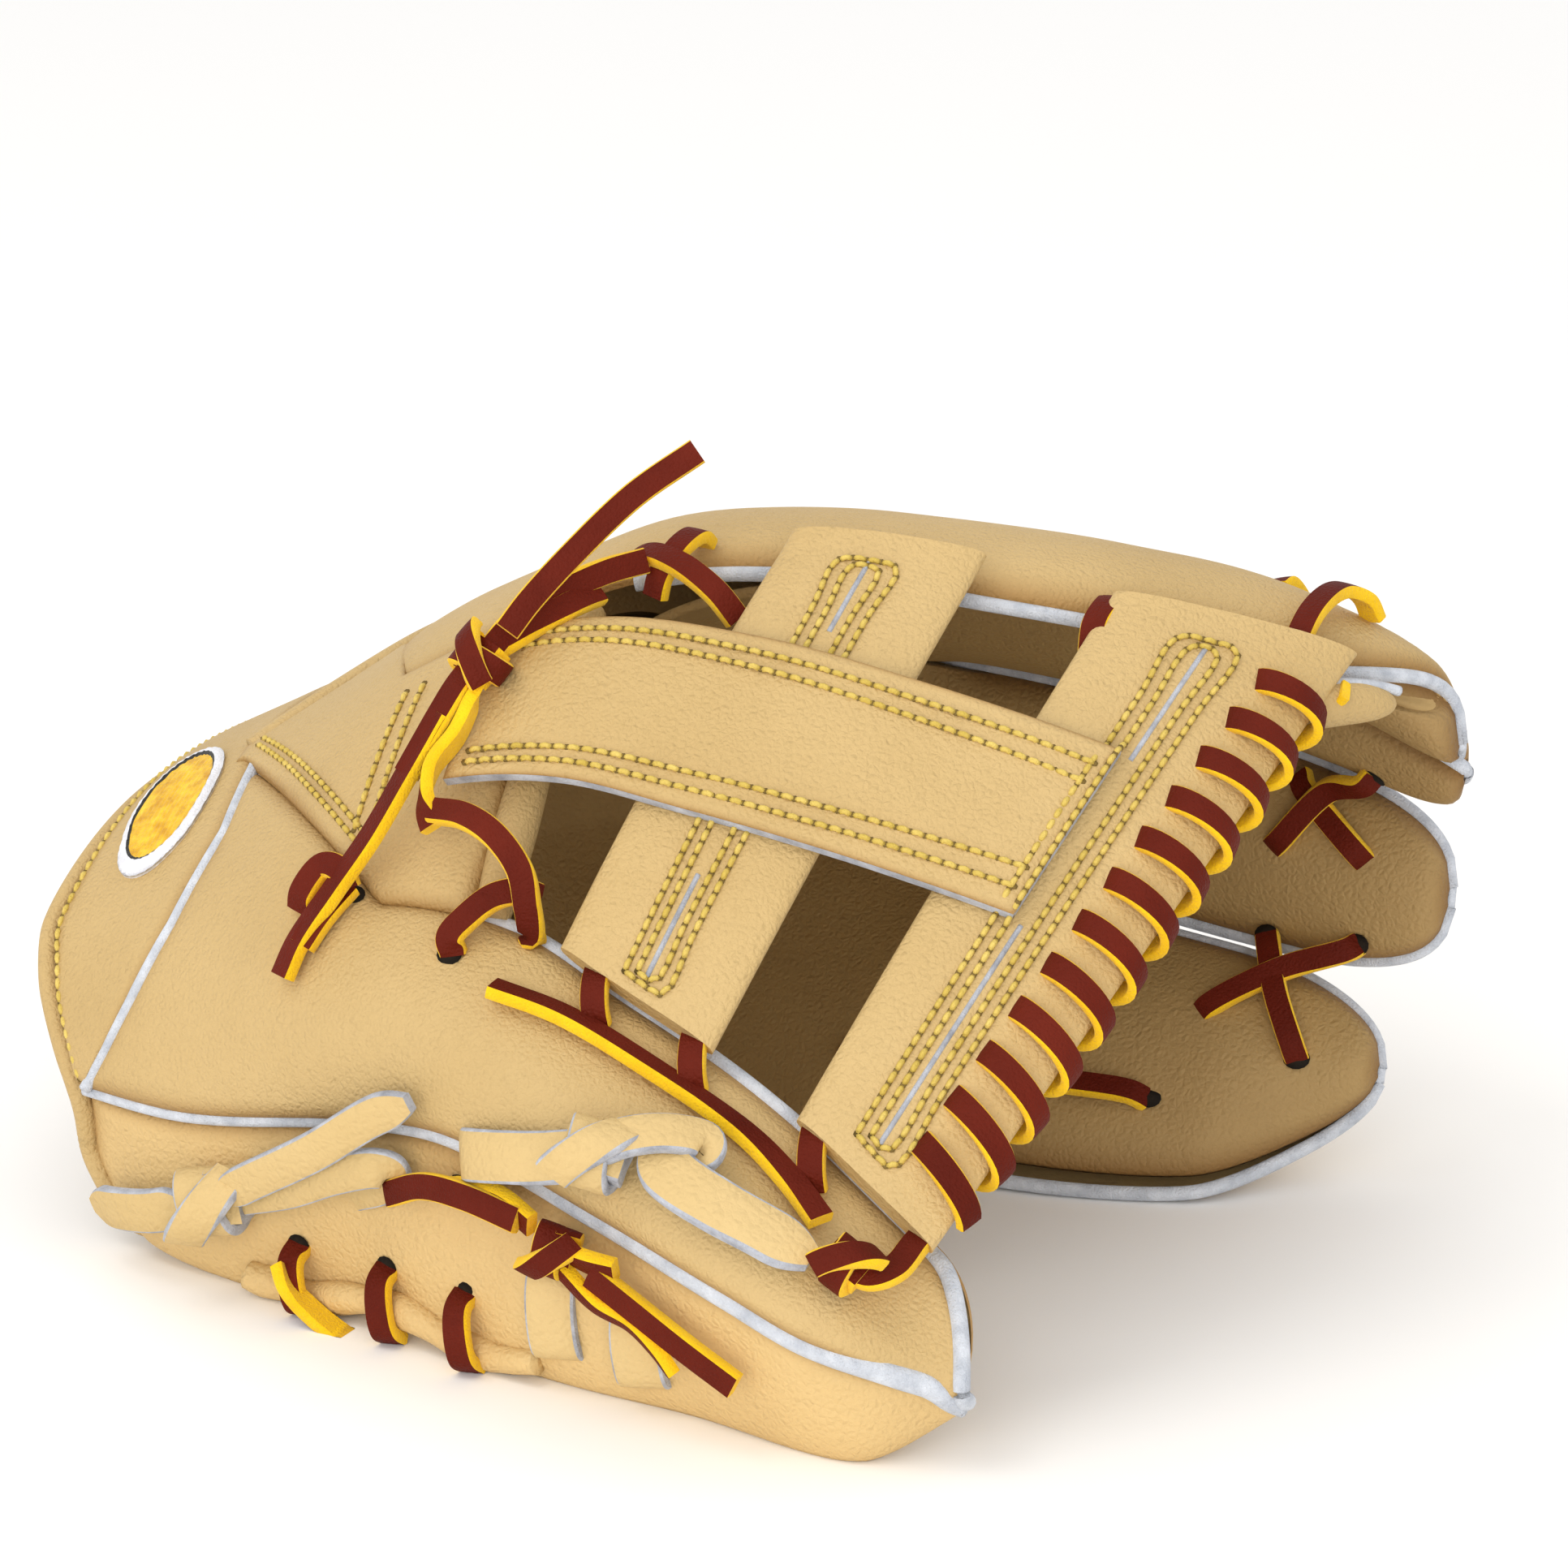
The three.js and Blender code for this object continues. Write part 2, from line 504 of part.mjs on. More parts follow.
// Lace along a route of [x, s, h] (or web [a, b, h]) on a surface, flat side against it.
function laceOn(surface, route, width = LACE_WIDTH, steps = 3) {
  const up = (p, t) => {
    const k = t * (route.length - 1);
    const i = Math.min(Math.floor(k), route.length - 2);
    const [x, s, h] = route[i].map((v, c) => mix(v, route[i + 1][c], k - i));
    return surface(x, s, h + 1).sub(surface(x, s, h));
  };
  return lace(route.map((r) => surface(...r)), up, width, LACE_THICK, steps);
}
function knot(centre, size) {
  const ball = new THREE.SphereGeometry(1, 8, 5);
  const at = place(centre);
  return ball.scale(...size).translate(at.x, at.y, at.z);
}
// Crotch: lace over the end of the post, its knot and its two free tails.
add('crotch_lace', 'lace', laceOn(webPoint,
  [[-0.1, 0.12, 10.6], [-0.12, 0.4, 10.4], [-0.12, 0.62, 10.4], [-0.08, 0.78, 10.4], [-0.01, 0.96, 9]]));
add('crotch_knot', 'lace', knot(webPoint(-0.12, 0.62, 17), [6, 6, 3.6]));
const UPPER_TAIL = [[-23, -86.5, 127], [-20, -83, 132], [-14, -76, 140], [-5, -68, 150], [5.5, -62, 158]];
add('crotch_tail_upper', 'lace', lace(UPPER_TAIL.map((p) => new THREE.Vector3(...p)),
  new THREE.Vector3(0.5, -0.8, 0.4)));
const LOWER_TAIL = [[-32, 2.49, 16], [-37, 2.34, 13], [-43, 2.17, 9], [-49, 1.97, 5], [-54, 1.78, 3],
  [-56, 1.64, 2.6]];
add('crotch_tail_lower', 'lace', laceOn(onBack, LOWER_TAIL, LACE_WIDTH, 2));
add('crotch_thumb_lace', 'lace', laceOn(onBack, [[-25, 1.84, 2.2], [-19, 1.93, 4.4], [-14, 2.06, 7.4],
  [-19, 2.16, 9.5]]));
add('crotch_loop', 'lace', laceOn(onBack, [[-61, 2.0, 2.6], [-58, 2.07, 4], [-54, 2.07, 4], [-51, 1.99,
  2.6]]));
// Lace that ties the web to the thumb, with its knot and long tail on the thumb panel.
add('web_thumb_lace', 'lace', laceOn(webPoint, spread(8, (t) => [mix(0.1, 0.95, t), 0.085, -6.5]),
  LACE_WIDTH, 1));
add('web_index_lace', 'lace', laceOn(webPoint, spread(8, (t) => [mix(0.1, 0.93, t), 0.915, -6.5]),
  LACE_WIDTH, 1));
add('thumb_web_knot', 'lace', knot(onBack(66, 1.66, 5.6), [6, 4.5, 4.6]));
const THUMB_TAIL = [[57.5, 1.74, 3.2], [50, 1.79, 2.8], [40, 1.82, 2.6], [20, 1.81, 2.6], [3, 1.78, 2.6],
  [-11, 1.7, 2.6]];
add('thumb_web_tail', 'lace', laceOn(onBack, THUMB_TAIL, LACE_WIDTH, 2));
// Laces between the fingertips, on the palm side, and the loop at the index tip.
const cross = (first, second) => join(laceOn(onFront, first, LACE_WIDTH, 4), laceOn(onFront, second,
  LACE_WIDTH, 4));
add('middle_ring_lace', 'lace', cross([[101, 4.86, 3], [109, 5.08, 3], [117, 5.34, 3]],
  [[119, 4.8, 3], [109, 5.06, 3], [97, 5.34, 3]]));
add('ring_pinky_lace', 'lace', cross([[97, 5.86, 3], [101, 6.1, 3], [107, 6.36, 3]],
  [[115, 5.86, 3], [101, 6.1, 3], [88, 6.34, 3]]));
add('pinky_palm_lace', 'lace', laceOn(onFront, [[16, 6.7, 2.4], [36, 6.7, 2.4], [56, 6.7, 2.4], [76, 6.7,
  2.4]]));
add('index_tip_lace', 'lace', laceOn(onBack, [[110, 3.12, 3], [114, 3.3, 3], [117, 3.52, 3], [118, 3.74,
  3]]));
// Lacing of the thumb heel edge.
add('heel_lace', 'lace', laceOn(onWrap, [[-66, 3.5, 2.2], [-58, 3.34, 3], [-50, 3.5, 2.2], [-40, 3.36,
  3], [-31, 3.5, 2.2],
  [-22, 3.36, 3], [-14, 3.46, 2.2], [-6, 3.36, 3]], LACE_WIDTH, 2));
// Leather thongs that set the thumb loop, with their knots.
add('heel_thong_knot', 'tanLace', knot(onWrap(-74, 3.66, 7.5), [7, 4.5, 7]));
add('heel_thong_front', 'tanLace', laceOn(onWrap, [[-64.5, 3.72, 7], [-56, 3.8, 7.5], [-45, 3.9, 8],
  [-33, 3.98, 7]], THONG, 2));
add('heel_thong_back', 'tanLace', laceOn(onWrap, [[-83.5, 3.56, 6], [-92, 3.5, 6.5], [-100, 3.45, 6.5]],
  THONG, 3));
add('thumb_thong', 'tanLace', laceOn(onBack, [[-12, 1.06, 3.6], [0, 1.2, 3], [14, 1.3, 3], [28, 1.42, 2.8],
  [44, 1.52, 2.8], [54, 1.48, 2.8]], THONG, 2));
add('thumb_thong_knot', 'tanLace', knot(onBack(17, 1.33, 8.4), [7, 3.4, 5.4]));
for (const [i, [x, s]] of [[6, 3.47], [23, 3.4]].entries()) {
  add(`slot_thong_${i + 1}`, 'tanLace', laceOn(onWrap, [[x - 5, s + 0.1, 2.2], [x, s, 2.8], [x + 4,
    s - 0.12, 2.2]], THONG));
}
// Tie that gathers the thumb lacing, with three short tails.
add('tie_knot', 'lace', knot(onWrap(9, 3.86, 7.4), [5.5, 4, 5]));
add('tie_tail_heel', 'lace', laceOn(onWrap, [[1.5, 3.9, 7], [-10, 3.88, 7.2], [-20, 3.84, 6.2], [-29,
  3.76, 5]], LACE_WIDTH, 2));
add('tie_tail_tip', 'lace', laceOn(onWrap, [[17, 3.84, 7], [26, 3.78, 6.6], [36, 3.7, 6], [46, 3.6, 5]],
  LACE_WIDTH, 2));
add('tie_tail_low', 'lace', laceOn(onWrap, [[12, 3.68, 7.5], [17, 3.6, 7.5], [24, 3.48, 7.5], [31, 3.36,
  7.5]], 3.4, 2));

export default glove;
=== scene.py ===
# Looks of a left-hand fielder's glove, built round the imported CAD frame.
# Curves are worked out in millimetres in the glove's own drawing frame; to_row() turns them into row metres.
import math

import bpy
import numpy as np
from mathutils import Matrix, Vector, noise


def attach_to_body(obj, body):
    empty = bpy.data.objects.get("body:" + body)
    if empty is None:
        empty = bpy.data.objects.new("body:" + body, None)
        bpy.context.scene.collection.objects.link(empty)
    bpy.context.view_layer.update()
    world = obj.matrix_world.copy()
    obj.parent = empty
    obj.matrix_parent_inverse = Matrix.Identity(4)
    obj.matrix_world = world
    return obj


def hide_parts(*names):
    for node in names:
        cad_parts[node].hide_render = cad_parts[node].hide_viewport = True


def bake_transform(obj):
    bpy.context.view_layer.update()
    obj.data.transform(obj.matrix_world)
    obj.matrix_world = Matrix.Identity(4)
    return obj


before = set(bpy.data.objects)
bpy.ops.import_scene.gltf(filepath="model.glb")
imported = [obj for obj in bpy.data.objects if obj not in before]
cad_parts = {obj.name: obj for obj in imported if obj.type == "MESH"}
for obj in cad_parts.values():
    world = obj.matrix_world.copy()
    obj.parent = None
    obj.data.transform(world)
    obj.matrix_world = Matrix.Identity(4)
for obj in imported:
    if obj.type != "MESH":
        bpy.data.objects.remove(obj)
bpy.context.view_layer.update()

# ---------- driving dimensions, in mm ----------
MM = 0.001
ORIGIN = np.array([6.2, -45.8, 0.0])
LEATHER = 2.6
WELT_THICK = 1.4
GAP = 0.45
UNDER = WELT_THICK / 2 + GAP
LACE_WIDTH = 5.0
LACE_THICK = 2.4
THONG = 7.5
HAND_DEPTH = 27
KNUCKLE_X = -58
FORK_X = 20
HAND_FRONT_X = -75
FRONT_SWELL = 7
SEAM = 0.045
TIP_LEAST = 0.1
TIP_FULLNESS = 2.6   # 2 gives an elliptical fingertip, more gives a fuller one
BAR_THICK = 5
POST_LOW = BAR_THICK + GAP
THONG_THICK = 2.2
WAVE_LENGTH = 22.0   # of the slight unevenness of the leather
ROW_STEP = 2.0       # spacing of a panel's points along it and across it
COLUMN_STEP = 1.8
CURVE_STEPS = 10     # points that a lace has from one point of its route to the next
STITCH_ROW_POINTS = 80

# Guide rails: seams from the heel to the fingertips, from the thumb's ground edge to the pinky's.
RAILS = [
    [(-113, -97, 13), (-84, -110, 3), (-50, -115, 1), (-8, -129, 1), (32, -137, 1), (66, -144, 1),
     (84, -134, 6)],
    [(-113, -102, 32), (-80, -112, 33), (-38, -122, 41), (-16, -129, 43), (17, -138, 35), (43, -146, 28),
     (60, -148, 22), (84, -140, 14)],
    [(-122, -86, 56), (-113, -87, 58), (-80, -97, 65), (-42, -101, 76), (-13, -105, 75), (10, -110, 66),
     (31, -114, 57), (48, -118, 48), (66, -125, 38), (84, -132, 28)],
    [(-122, -58, 70), (-113, -56, 76), (-80, -60, 90), (-50, -62, 108), (-15, -52, 126), (23, -44, 129),
     (57, -38, 125), (90, -30, 119), (120, -20, 110), (138, -12, 100)],
    [(-122, -18, 72), (-113, -16, 78), (-80, -16, 95), (-50, -8, 112), (-15, 6, 121), (40, 13, 119),
     (90, 14, 112), (138, 6, 92)],
    [(-122, 18, 64), (-113, 22, 70), (-80, 27, 84), (-50, 36, 93), (-15, 42, 95), (40, 42, 92), (90, 36, 85),
     (140, 24, 75)],
    [(-122, 36, 42), (-113, 40, 44), (-80, 46, 48), (-50, 48, 50), (-15, 46, 48), (40, 38, 46), (90, 28, 42),
     (140, 16, 40)],
    [(-113, 30, 5), (-80, 30, 0.8), (-50, 18, 0.8), (-15, -3, 0.8), (40, -20, 0.8), (90, -14, 0.8),
     (112, 2, 6), (130, 8, 15)],
]


def hermite(t, p, m, q, n):
    return ((2 * t**3 - 3 * t**2 + 1) * p + (t**3 - 2 * t**2 + t) * m
            + (3 * t**2 - 2 * t**3) * q + (t**3 - t**2) * n)


def along(points):
    """Cubic curve through points of rising x: an array of x gives an array of [y, z]."""
    p = np.array(points, float)
    low = np.maximum(np.arange(len(p)) - 1, 0)
    high = np.minimum(np.arange(len(p)) + 1, len(p) - 1)
    slope = (p[high, 1:] - p[low, 1:]) / (p[high, :1] - p[low, :1])

    def at(x):
        i = np.searchsorted(p[1:-1, 0], x, side="left")
        width = (p[i + 1, 0] - p[i, 0])[..., None]
        t = ((x - p[i, 0])[..., None]) / width
        return hermite(t, p[i, 1:], slope[i] * width, p[i + 1, 1:], slope[i + 1] * width)
    return at


rails = [along(r) for r in RAILS]


def mix(a, b, t):
    return a + (b - a) * t


def ramp(x, start, end):
    t = np.clip((x - start) / (end - start), 0, 1)
    return t * t * (3 - 2 * t)


def swell(v):
    return 4 * v * (1 - v)


def squared(c, power):
    """A sine or cosine raised to a power, with its sign kept: a small power makes a square section."""
    return np.sign(c) * np.abs(c) ** power


def above(points, height):
    """The same points, with none lower than height."""
    points[..., 2] = np.maximum(points[..., 2], height)
    return points


def smoothed(path, times):
    """The same path with its bends evened out and its ends kept."""
    for _ in range(times):
        path[1:-1] = (path[:-2] + 2 * path[1:-1] + path[2:]) / 4
    return path


def hand_room(x):
    return HAND_DEPTH * (1 - ramp(x, HAND_FRONT_X, FORK_X))


def finger_room(x):
    return ramp(x, KNUCKLE_X, FORK_X + 10)


def section(x, s, table):
    """Smooth section through the rails: s counts them, from 0 at the thumb edge."""
    n = len(table) - 1
    k = np.clip(np.floor(s).astype(int), 0, n - 1)
    t = (s - k)[..., None]
    every = np.stack([rail(x) for rail in table])

    def at(i):
        return np.take_along_axis(every, np.clip(i, 0, n)[None, ..., None], 0)[0]
    a, b, c, d = at(k - 1), at(k), at(k + 1), at(k + 2)
    m = np.where((k == 0)[..., None], c - b, (c - a) / 2)
    o = np.where((k == n - 1)[..., None], c - b, (d - b) / 2)
    return hermite(t, b, m, c, o)


def skin(x, s, h=0.0, table=rails):
    """Points on the outline, raised by h along its outward normal."""
    x, s, h = np.broadcast_arrays(*(np.asarray(a, float) for a in (x, s, h)))
    here = section(x, s, table)
    step = section(x, s + 0.02, table) - section(x, s - 0.02, table)
    step = step / np.linalg.norm(step, axis=-1, keepdims=True)
    return np.stack([x, here[..., 0] - step[..., 1] * h, here[..., 1] + step[..., 0] * h], -1)


def line_s(points):
    p = np.array(points, float)
    return lambda x: np.interp(x, p[:, 0], p[:, 1])


def to_row(points):
    return (np.asarray(points, float) - ORIGIN) * MM


def unit(v):
    return v / np.maximum(np.linalg.norm(v, axis=-1, keepdims=True), 1e-9)


# ---------- fingers, thumb, palm and web surfaces ----------
FINGERS = {
    "index": dict(start=3, end=4, tip=138, round=102, back=3, lean=0.9),
    "middle": dict(start=4, end=5, tip=138, round=102, back=10, lean=0.2),
    "ring": dict(start=5, end=6, tip=134, round=98, back=10, lean=0.5),
    "pinky": dict(start=6, end=7, tip=123.5, round=84, back=10, lean=0.62),
}   # lean is where across the finger its tip comes, from 0 on the thumb's side to 1
THUMB = dict(start=1, end=2, tip=85, round=73, back=5, lean=0.5)
WRAP_TIP = dict(tip=85, round=60)    # under the thumb the leather rounds off sooner
thumb_top = line_s([(-91, 2.98), (-42, 2.0), (0, 2.0)])
crotch_top = line_s([(-91, 3.02), (-69, 3.6), (-55, 2.96), (0, 2.96)])
strap_line = line_s([(1, -105), (1.3, -100), (1.6, -95.5), (2, -90), (2.5, -86), (2.9, -88), (3.2, -91.5),
                     (3.6, -92), (6, -92), (7, -90)])
wrist_line = line_s([(0, -82), (1, -106), (1.6, -117), (2, -121), (3, -119), (6, -114), (7, -104)])


def tip_dome(finger, x):
    """1 along the finger, falling to 0 round its tip."""
    t = np.clip((x - finger["round"]) / (finger["tip"] - finger["round"]), 0, 1)
    return (1 - t**TIP_FULLNESS) ** (1 / TIP_FULLNESS)


def tip_share(finger, x):
    return np.maximum(tip_dome(finger, x), TIP_LEAST)


def tip_spacing(finger, start, t):
    return mix(start, finger["tip"], np.sin(t * np.pi / 2) * 0.45 + t * 0.55)


def finger_point(finger, x, v, h):
    trim = SEAM * ramp(x, HAND_FRONT_X, FORK_X)
    share = tip_share(finger, x) * (1 - 2 * trim)
    return skin(x, finger["start"] + mix(trim, 1 - trim, finger["lean"]) + (v - finger["lean"]) * share, h)


def back_height(finger, x, v):
    return mix(2, finger["back"], finger_room(x)) * swell(v)


def inner_top(x):
    depth = -UNDER - LEATHER / 2 - HAND_DEPTH * (1 - ramp(x, HAND_FRONT_X, 0))
    return skin(x, mix(2.58, 2.04, ramp(x, -38, -8)), depth)[..., 1:]


WRAP = [
    inner_top,
    along([(-113, -80, 34), (-80, -86, 36), (-50, -90, 40), (-20, -97, 42), (10, -105, 36), (31, -111, 31),
           (48, -116, 26), (66, -123, 21), (84, -130, 18)]),
    along([(-113, -90, 20), (-80, -94, 7), (-50, -97, 4), (-20, -107, 4), (10, -114, 4), (31, -120, 4),
           (48, -125, 5), (66, -131, 7), (84, -132, 13)]),
    rails[0],
    rails[1],
]


def wrap_point(x, s, h):
    return skin(x, s, h, WRAP)


def on_back(x, s, h):
    thumb = s < 2.5
    v = np.where(thumb, (s - 1) / (thumb_top(x) - 1), s - 3)
    height = np.where(thumb, THUMB["back"] * ramp(x, -95, -40), FINGERS["index"]["back"] * finger_room(x))
    return skin(x, s, np.maximum(height * swell(v), 0) + UNDER + LEATHER + h)


def on_wrap(x, s, h):
    return wrap_point(x, s, LEATHER / 2 + h)


def on_front(x, s, h):
    v = s - np.floor(s)
    depth = hand_room(x) + np.maximum(FRONT_SWELL * finger_room(x) * swell(v), 4)
    return skin(x, s, -depth - UNDER - LEATHER - h)


WEB_LIFT = 6
WEB_BELLY = 3


def web_point(a, b, h=0.0):
    """The web: a from the crotch to its outer edge, b from the thumb to the index finger."""
    a, b, h = np.broadcast_arrays(*(np.asarray(k, float) for k in (a, b, h)))

    def sides(k):
        return skin(mix(-16, 80, k), 2 + 0 * k, WEB_LIFT), skin(mix(-8, 124, k), 3 + 0 * k, WEB_LIFT)
    thumb, index = sides(a)
    ahead = sum(sides(a + 0.05)) / 2
    normal = -unit(np.cross(index - thumb, ahead - (thumb + index) / 2))
    inside = np.clip(b, 0, 1)
    return mix(thumb, index, b[..., None]) + normal * (WEB_BELLY * swell(inside) + h)[..., None]


# ---------- materials ----------
def new_material(name):
    made = bpy.data.materials.new(name)
    made.use_nodes = True
    tree = made.node_tree
    return made, tree, tree.nodes["Principled BSDF"]


def add_node(tree, kind, values, links=(), **settings):
    """New shader node with its settings, its input values and its links."""
    made = tree.nodes.new("ShaderNode" + kind)
    for key, value in settings.items():
        setattr(made, key, value)
    for key, value in values.items():
        made.inputs[key].default_value = value
    for key, source in links:
        tree.links.new(source, made.inputs[key])
    return made


def textured(name, dark, light, grain, roughness, bump, variation=9.0, sheen=0.0, pores=True, seam_darkening=None,
             shine=0.25):
    """Material with mottled colour, fine grain or fibre relief, and roughness that follows the grain."""
    made, tree, shader = new_material(name)
    place = tree.nodes.new("ShaderNodeTexCoord").outputs["Object"]
    blotch = add_node(tree, "TexNoise", {"Scale": variation, "Detail": 6, "Roughness": 0.6},
                      [("Vector", place)])
    colours = add_node(tree, "ValToRGB", {}, [("Fac", blotch.outputs["Fac"])])
    for element, position, shade in zip(colours.color_ramp.elements, (0.32, 0.68), (dark, light)):
        element.position = position
        element.color = (*shade, 1)
    colour = colours.outputs["Color"]
    fine = add_node(tree, "TexNoise", {"Scale": grain, "Detail": 6}, [("Vector", place)]).outputs["Fac"]
    # darker towards seams and edges, as far as the seam attribute says
    if seam_darkening:
        edge = tree.nodes.new("ShaderNodeAttribute")
        edge.attribute_name = "seam"
        links = [("Fac", edge.outputs["Fac"]), ("Color1", colour)]
        darker = add_node(tree, "MixRGB", {"Color2": (*seam_darkening, 1)}, links, blend_type="MULTIPLY")
        colour = darker.outputs["Color"]
    height = fine
    if pores:
        cells = add_node(tree, "TexVoronoi", {"Scale": grain * 0.8}, [("Vector", place)],
                         feature="DISTANCE_TO_EDGE")
        height = add_node(tree, "Math", {1: 0.9}, [(0, cells.outputs["Distance"]), (2, fine)],
                          operation="MULTIPLY_ADD").outputs["Value"]
    relief = add_node(tree, "Bump", {"Strength": bump, "Distance": 0.0005}, [("Height", height)])
    spread = add_node(tree, "MapRange", {"To Min": roughness - 0.08, "To Max": roughness + 0.1},
                      [("Value", fine)])
    for key, source in (("Base Color", colour), ("Normal", relief.outputs["Normal"]),
                        ("Roughness", spread.outputs["Result"])):
        tree.links.new(source, shader.inputs[key])
    shader.inputs["Sheen Weight"].default_value = sheen
    shader.inputs["Specular IOR Level"].default_value = shine
    return made


SEAM_DARKENING_TINT = (0.62, 0.50, 0.36)    # tint multiplied in towards seams and edges, darkening the leather there
SEAM_DARKENED = ("shell_leather", "palm_leather", "lit_heel_leather", "web_leather")
SHINE = {"lace_face": 0.08}  # specular level where it isn't the usual one
LOOKS = {   # dark and light colour, grain, roughness, bump; then scale of mottling, sheen, whether pores
    "shell_leather": ((0.48, 0.328, 0.136), (0.57, 0.402, 0.18), 1050, 0.55, 0.85),
    # palm leather of the finger fronts: partly its own browner tone, partly painted shade of the pocket,
    # darker than the palm leather under the thumb
    "palm_leather": ((0.325, 0.205, 0.078), (0.40, 0.265, 0.104), 850, 0.6, 0.8),
    # palm leather of the thumb's underside and heel roll: its own tone made lighter with painted light from
    # the table below
    "lit_heel_leather": ((0.575, 0.39, 0.165), (0.68, 0.48, 0.215), 850, 0.56, 0.85),
    "web_leather": ((0.50, 0.342, 0.14), (0.585, 0.415, 0.186), 950, 0.52, 0.95),
    "thong_leather": ((0.53, 0.37, 0.155), (0.64, 0.465, 0.215), 700, 0.66, 0.8),
    "raw_edge": ((0.27, 0.28, 0.32), (0.52, 0.54, 0.60), 2400, 0.95, 0.9, 260, 0.2, False),
    "welt": ((0.43, 0.46, 0.52), (0.66, 0.69, 0.75), 2400, 0.92, 1.0, 240, 0.3, False),
    "lace_face": ((0.085, 0.008, 0.003), (0.13, 0.014, 0.006), 1500, 0.55, 0.6, 40),
    "lace_edge": ((0.80, 0.46, 0.002), (0.95, 0.60, 0.006), 2200, 0.88, 0.9, 90, 0.1, False),
    "thread": ((0.58, 0.41, 0.07), (0.76, 0.57, 0.15), 3000, 0.6, 0.8, 160, 0.0, False),
    # dark brown: painted shade in the needle holes
    "needle_hole_shade": ((0.15, 0.095, 0.025), (0.21, 0.14, 0.04), 2000, 0.9, 0.3),
    # near black: painted shade inside the punched holes
    "painted_hole_shade": ((0.010, 0.007, 0.004), (0.022, 0.015, 0.009), 2000, 0.95, 0.3),
    "lining_leather": ((0.42, 0.28, 0.115), (0.50, 0.34, 0.15), 700, 0.8, 0.4),
    "padding_felt": ((0.60, 0.56, 0.46), (0.70, 0.66, 0.56), 1800, 0.95, 0.9, 60, 0.3, False),
    "stay_board": ((0.25, 0.26, 0.28), (0.31, 0.32, 0.34), 1200, 0.5, 0.15, 20, 0.0, False),
    "emblem_gold": ((0.62, 0.30, 0.005), (0.95, 0.62, 0.03), 1500, 0.4, 1.0, 330, 0.1, False),
    "emblem_dark": ((0.008, 0.008, 0.008), (0.03, 0.03, 0.028), 2200, 0.6, 0.8, 200, 0.1, False),
    "emblem_white": ((0.70, 0.70, 0.74), (0.86, 0.86, 0.9), 2200, 0.7, 0.9, 200, 0.1, False),
}
MATERIALS = {name: textured(name, *look, seam_darkening=SEAM_DARKENING_TINT if name in SEAM_DARKENED else None, shine=SHINE.get(name, 0.25))
             for name, look in LOOKS.items()}


FOLDS = {
    "web": ("root", "thumb_side", web_point(0.5, 0.95), web_point(0.5, 0.05)),
    "crotch": ("root", "thumb_side", skin(-50, 3.0), skin(-50, 2.05)),
    "strap": ("root", "thumb_side", skin(-105, 3.6), skin(-105, 2.0)),
    "palm": ("root", "thumb_side", skin(-40, 3.25, -27), skin(-40, 2.6, -27)),
    "pinky": ("root", "pinky_side", skin(-30, 5.0), skin(-30, 5.7)),
}


def attach(piece, where, slot, *nodes):
    """Rides the piece on a body, or bakes its transform where it lies over a fold, and hides the CAD nodes it
    stands for.
    """
    if where in FOLDS:
        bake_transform(piece)
    else:
        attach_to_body(piece, where)
    if nodes:
        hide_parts(*nodes)
    return piece


# ---------- mesh making ----------
def new_mesh(name, vertices, faces, materials, face_materials=None):
    mesh = bpy.data.meshes.new(name)
    mesh.from_pydata(vertices.tolist(), [], faces)
    for m in materials:
        mesh.materials.append(MATERIALS[m])
    if face_materials is not None:
        mesh.polygons.foreach_set("material_index", face_materials)
    mesh.polygons.foreach_set("use_smooth", [True] * len(mesh.polygons))
    mesh.update()
    made = bpy.data.objects.new(name, mesh)
    bpy.context.scene.collection.objects.link(made)
    return made


def grid_faces(rows, columns, around=False):
    """Quads of a grid of points; around closes it across its columns."""
    faces = []
    for i in range(rows - 1):
        for j in range(columns if around else columns - 1):
            k = (j + 1) % columns
            faces.append((i * columns + j, (i + 1) * columns + j, (i + 1) * columns + k, i * columns + k))
    return faces


def pipe_faces(rows, columns):
    """Quads of a pipe and a cap at each end."""
    n = rows * columns
    caps = [tuple(range(columns)), tuple(range(n - 1, n - columns - 1, -1))]
    return grid_faces(rows, columns, around=True) + caps


def uneven(points, amount):
    """Slight unevenness of worked leather, in mm: the same each run."""
    flat = points.reshape(-1, 3)
    return np.array([noise.noise(Vector(p) / WAVE_LENGTH) for p in flat]).reshape(points.shape[:-1]) * amount


def closed_sheet(outer, inner):
    """Vertices, faces and kinds of a closed sheet between two grids: 0 outer face, 1 inner face, 2 rim."""
    rows, columns = outer.shape[:2]
    n = rows * columns
    top = grid_faces(rows, columns)
    under = [tuple(k + n for k in f[::-1]) for f in top]
    border = list(range(columns)) + [i * columns + columns - 1 for i in range(1, rows)]
    border += [(rows - 1) * columns + j for j in range(columns - 2, -1, -1)]
    border += [i * columns for i in range(rows - 2, 0, -1)]
    rim = [(a, b, b + n, a + n) for a, b in zip(border, border[1:] + border[:1])]
    vertices = np.concatenate([outer.reshape(-1, 3), inner.reshape(-1, 3)])
    faces = top + under + rim
    kinds = [0] * len(top) + [1] * len(under) + [2] * len(rim)
    corners = np.array([[vertices[k] for k in f] for f in faces])
    volume = sum(np.einsum("ij,ij->i", corners[:, 0], np.cross(corners[:, i], corners[:, i + 1])).sum()
                 for i in (1, 2))
    if volume < 0:
        faces = [f[::-1] for f in faces]
    return vertices, faces, kinds


def mark_seams(made, seam_darkening):
    """Stores how near each point is to a seam, for the material to darken the leather there."""
    layer = made.data.attributes.new("seam", "FLOAT", "POINT")
    layer.data.foreach_set("value", np.asarray(seam_darkening, np.float32))


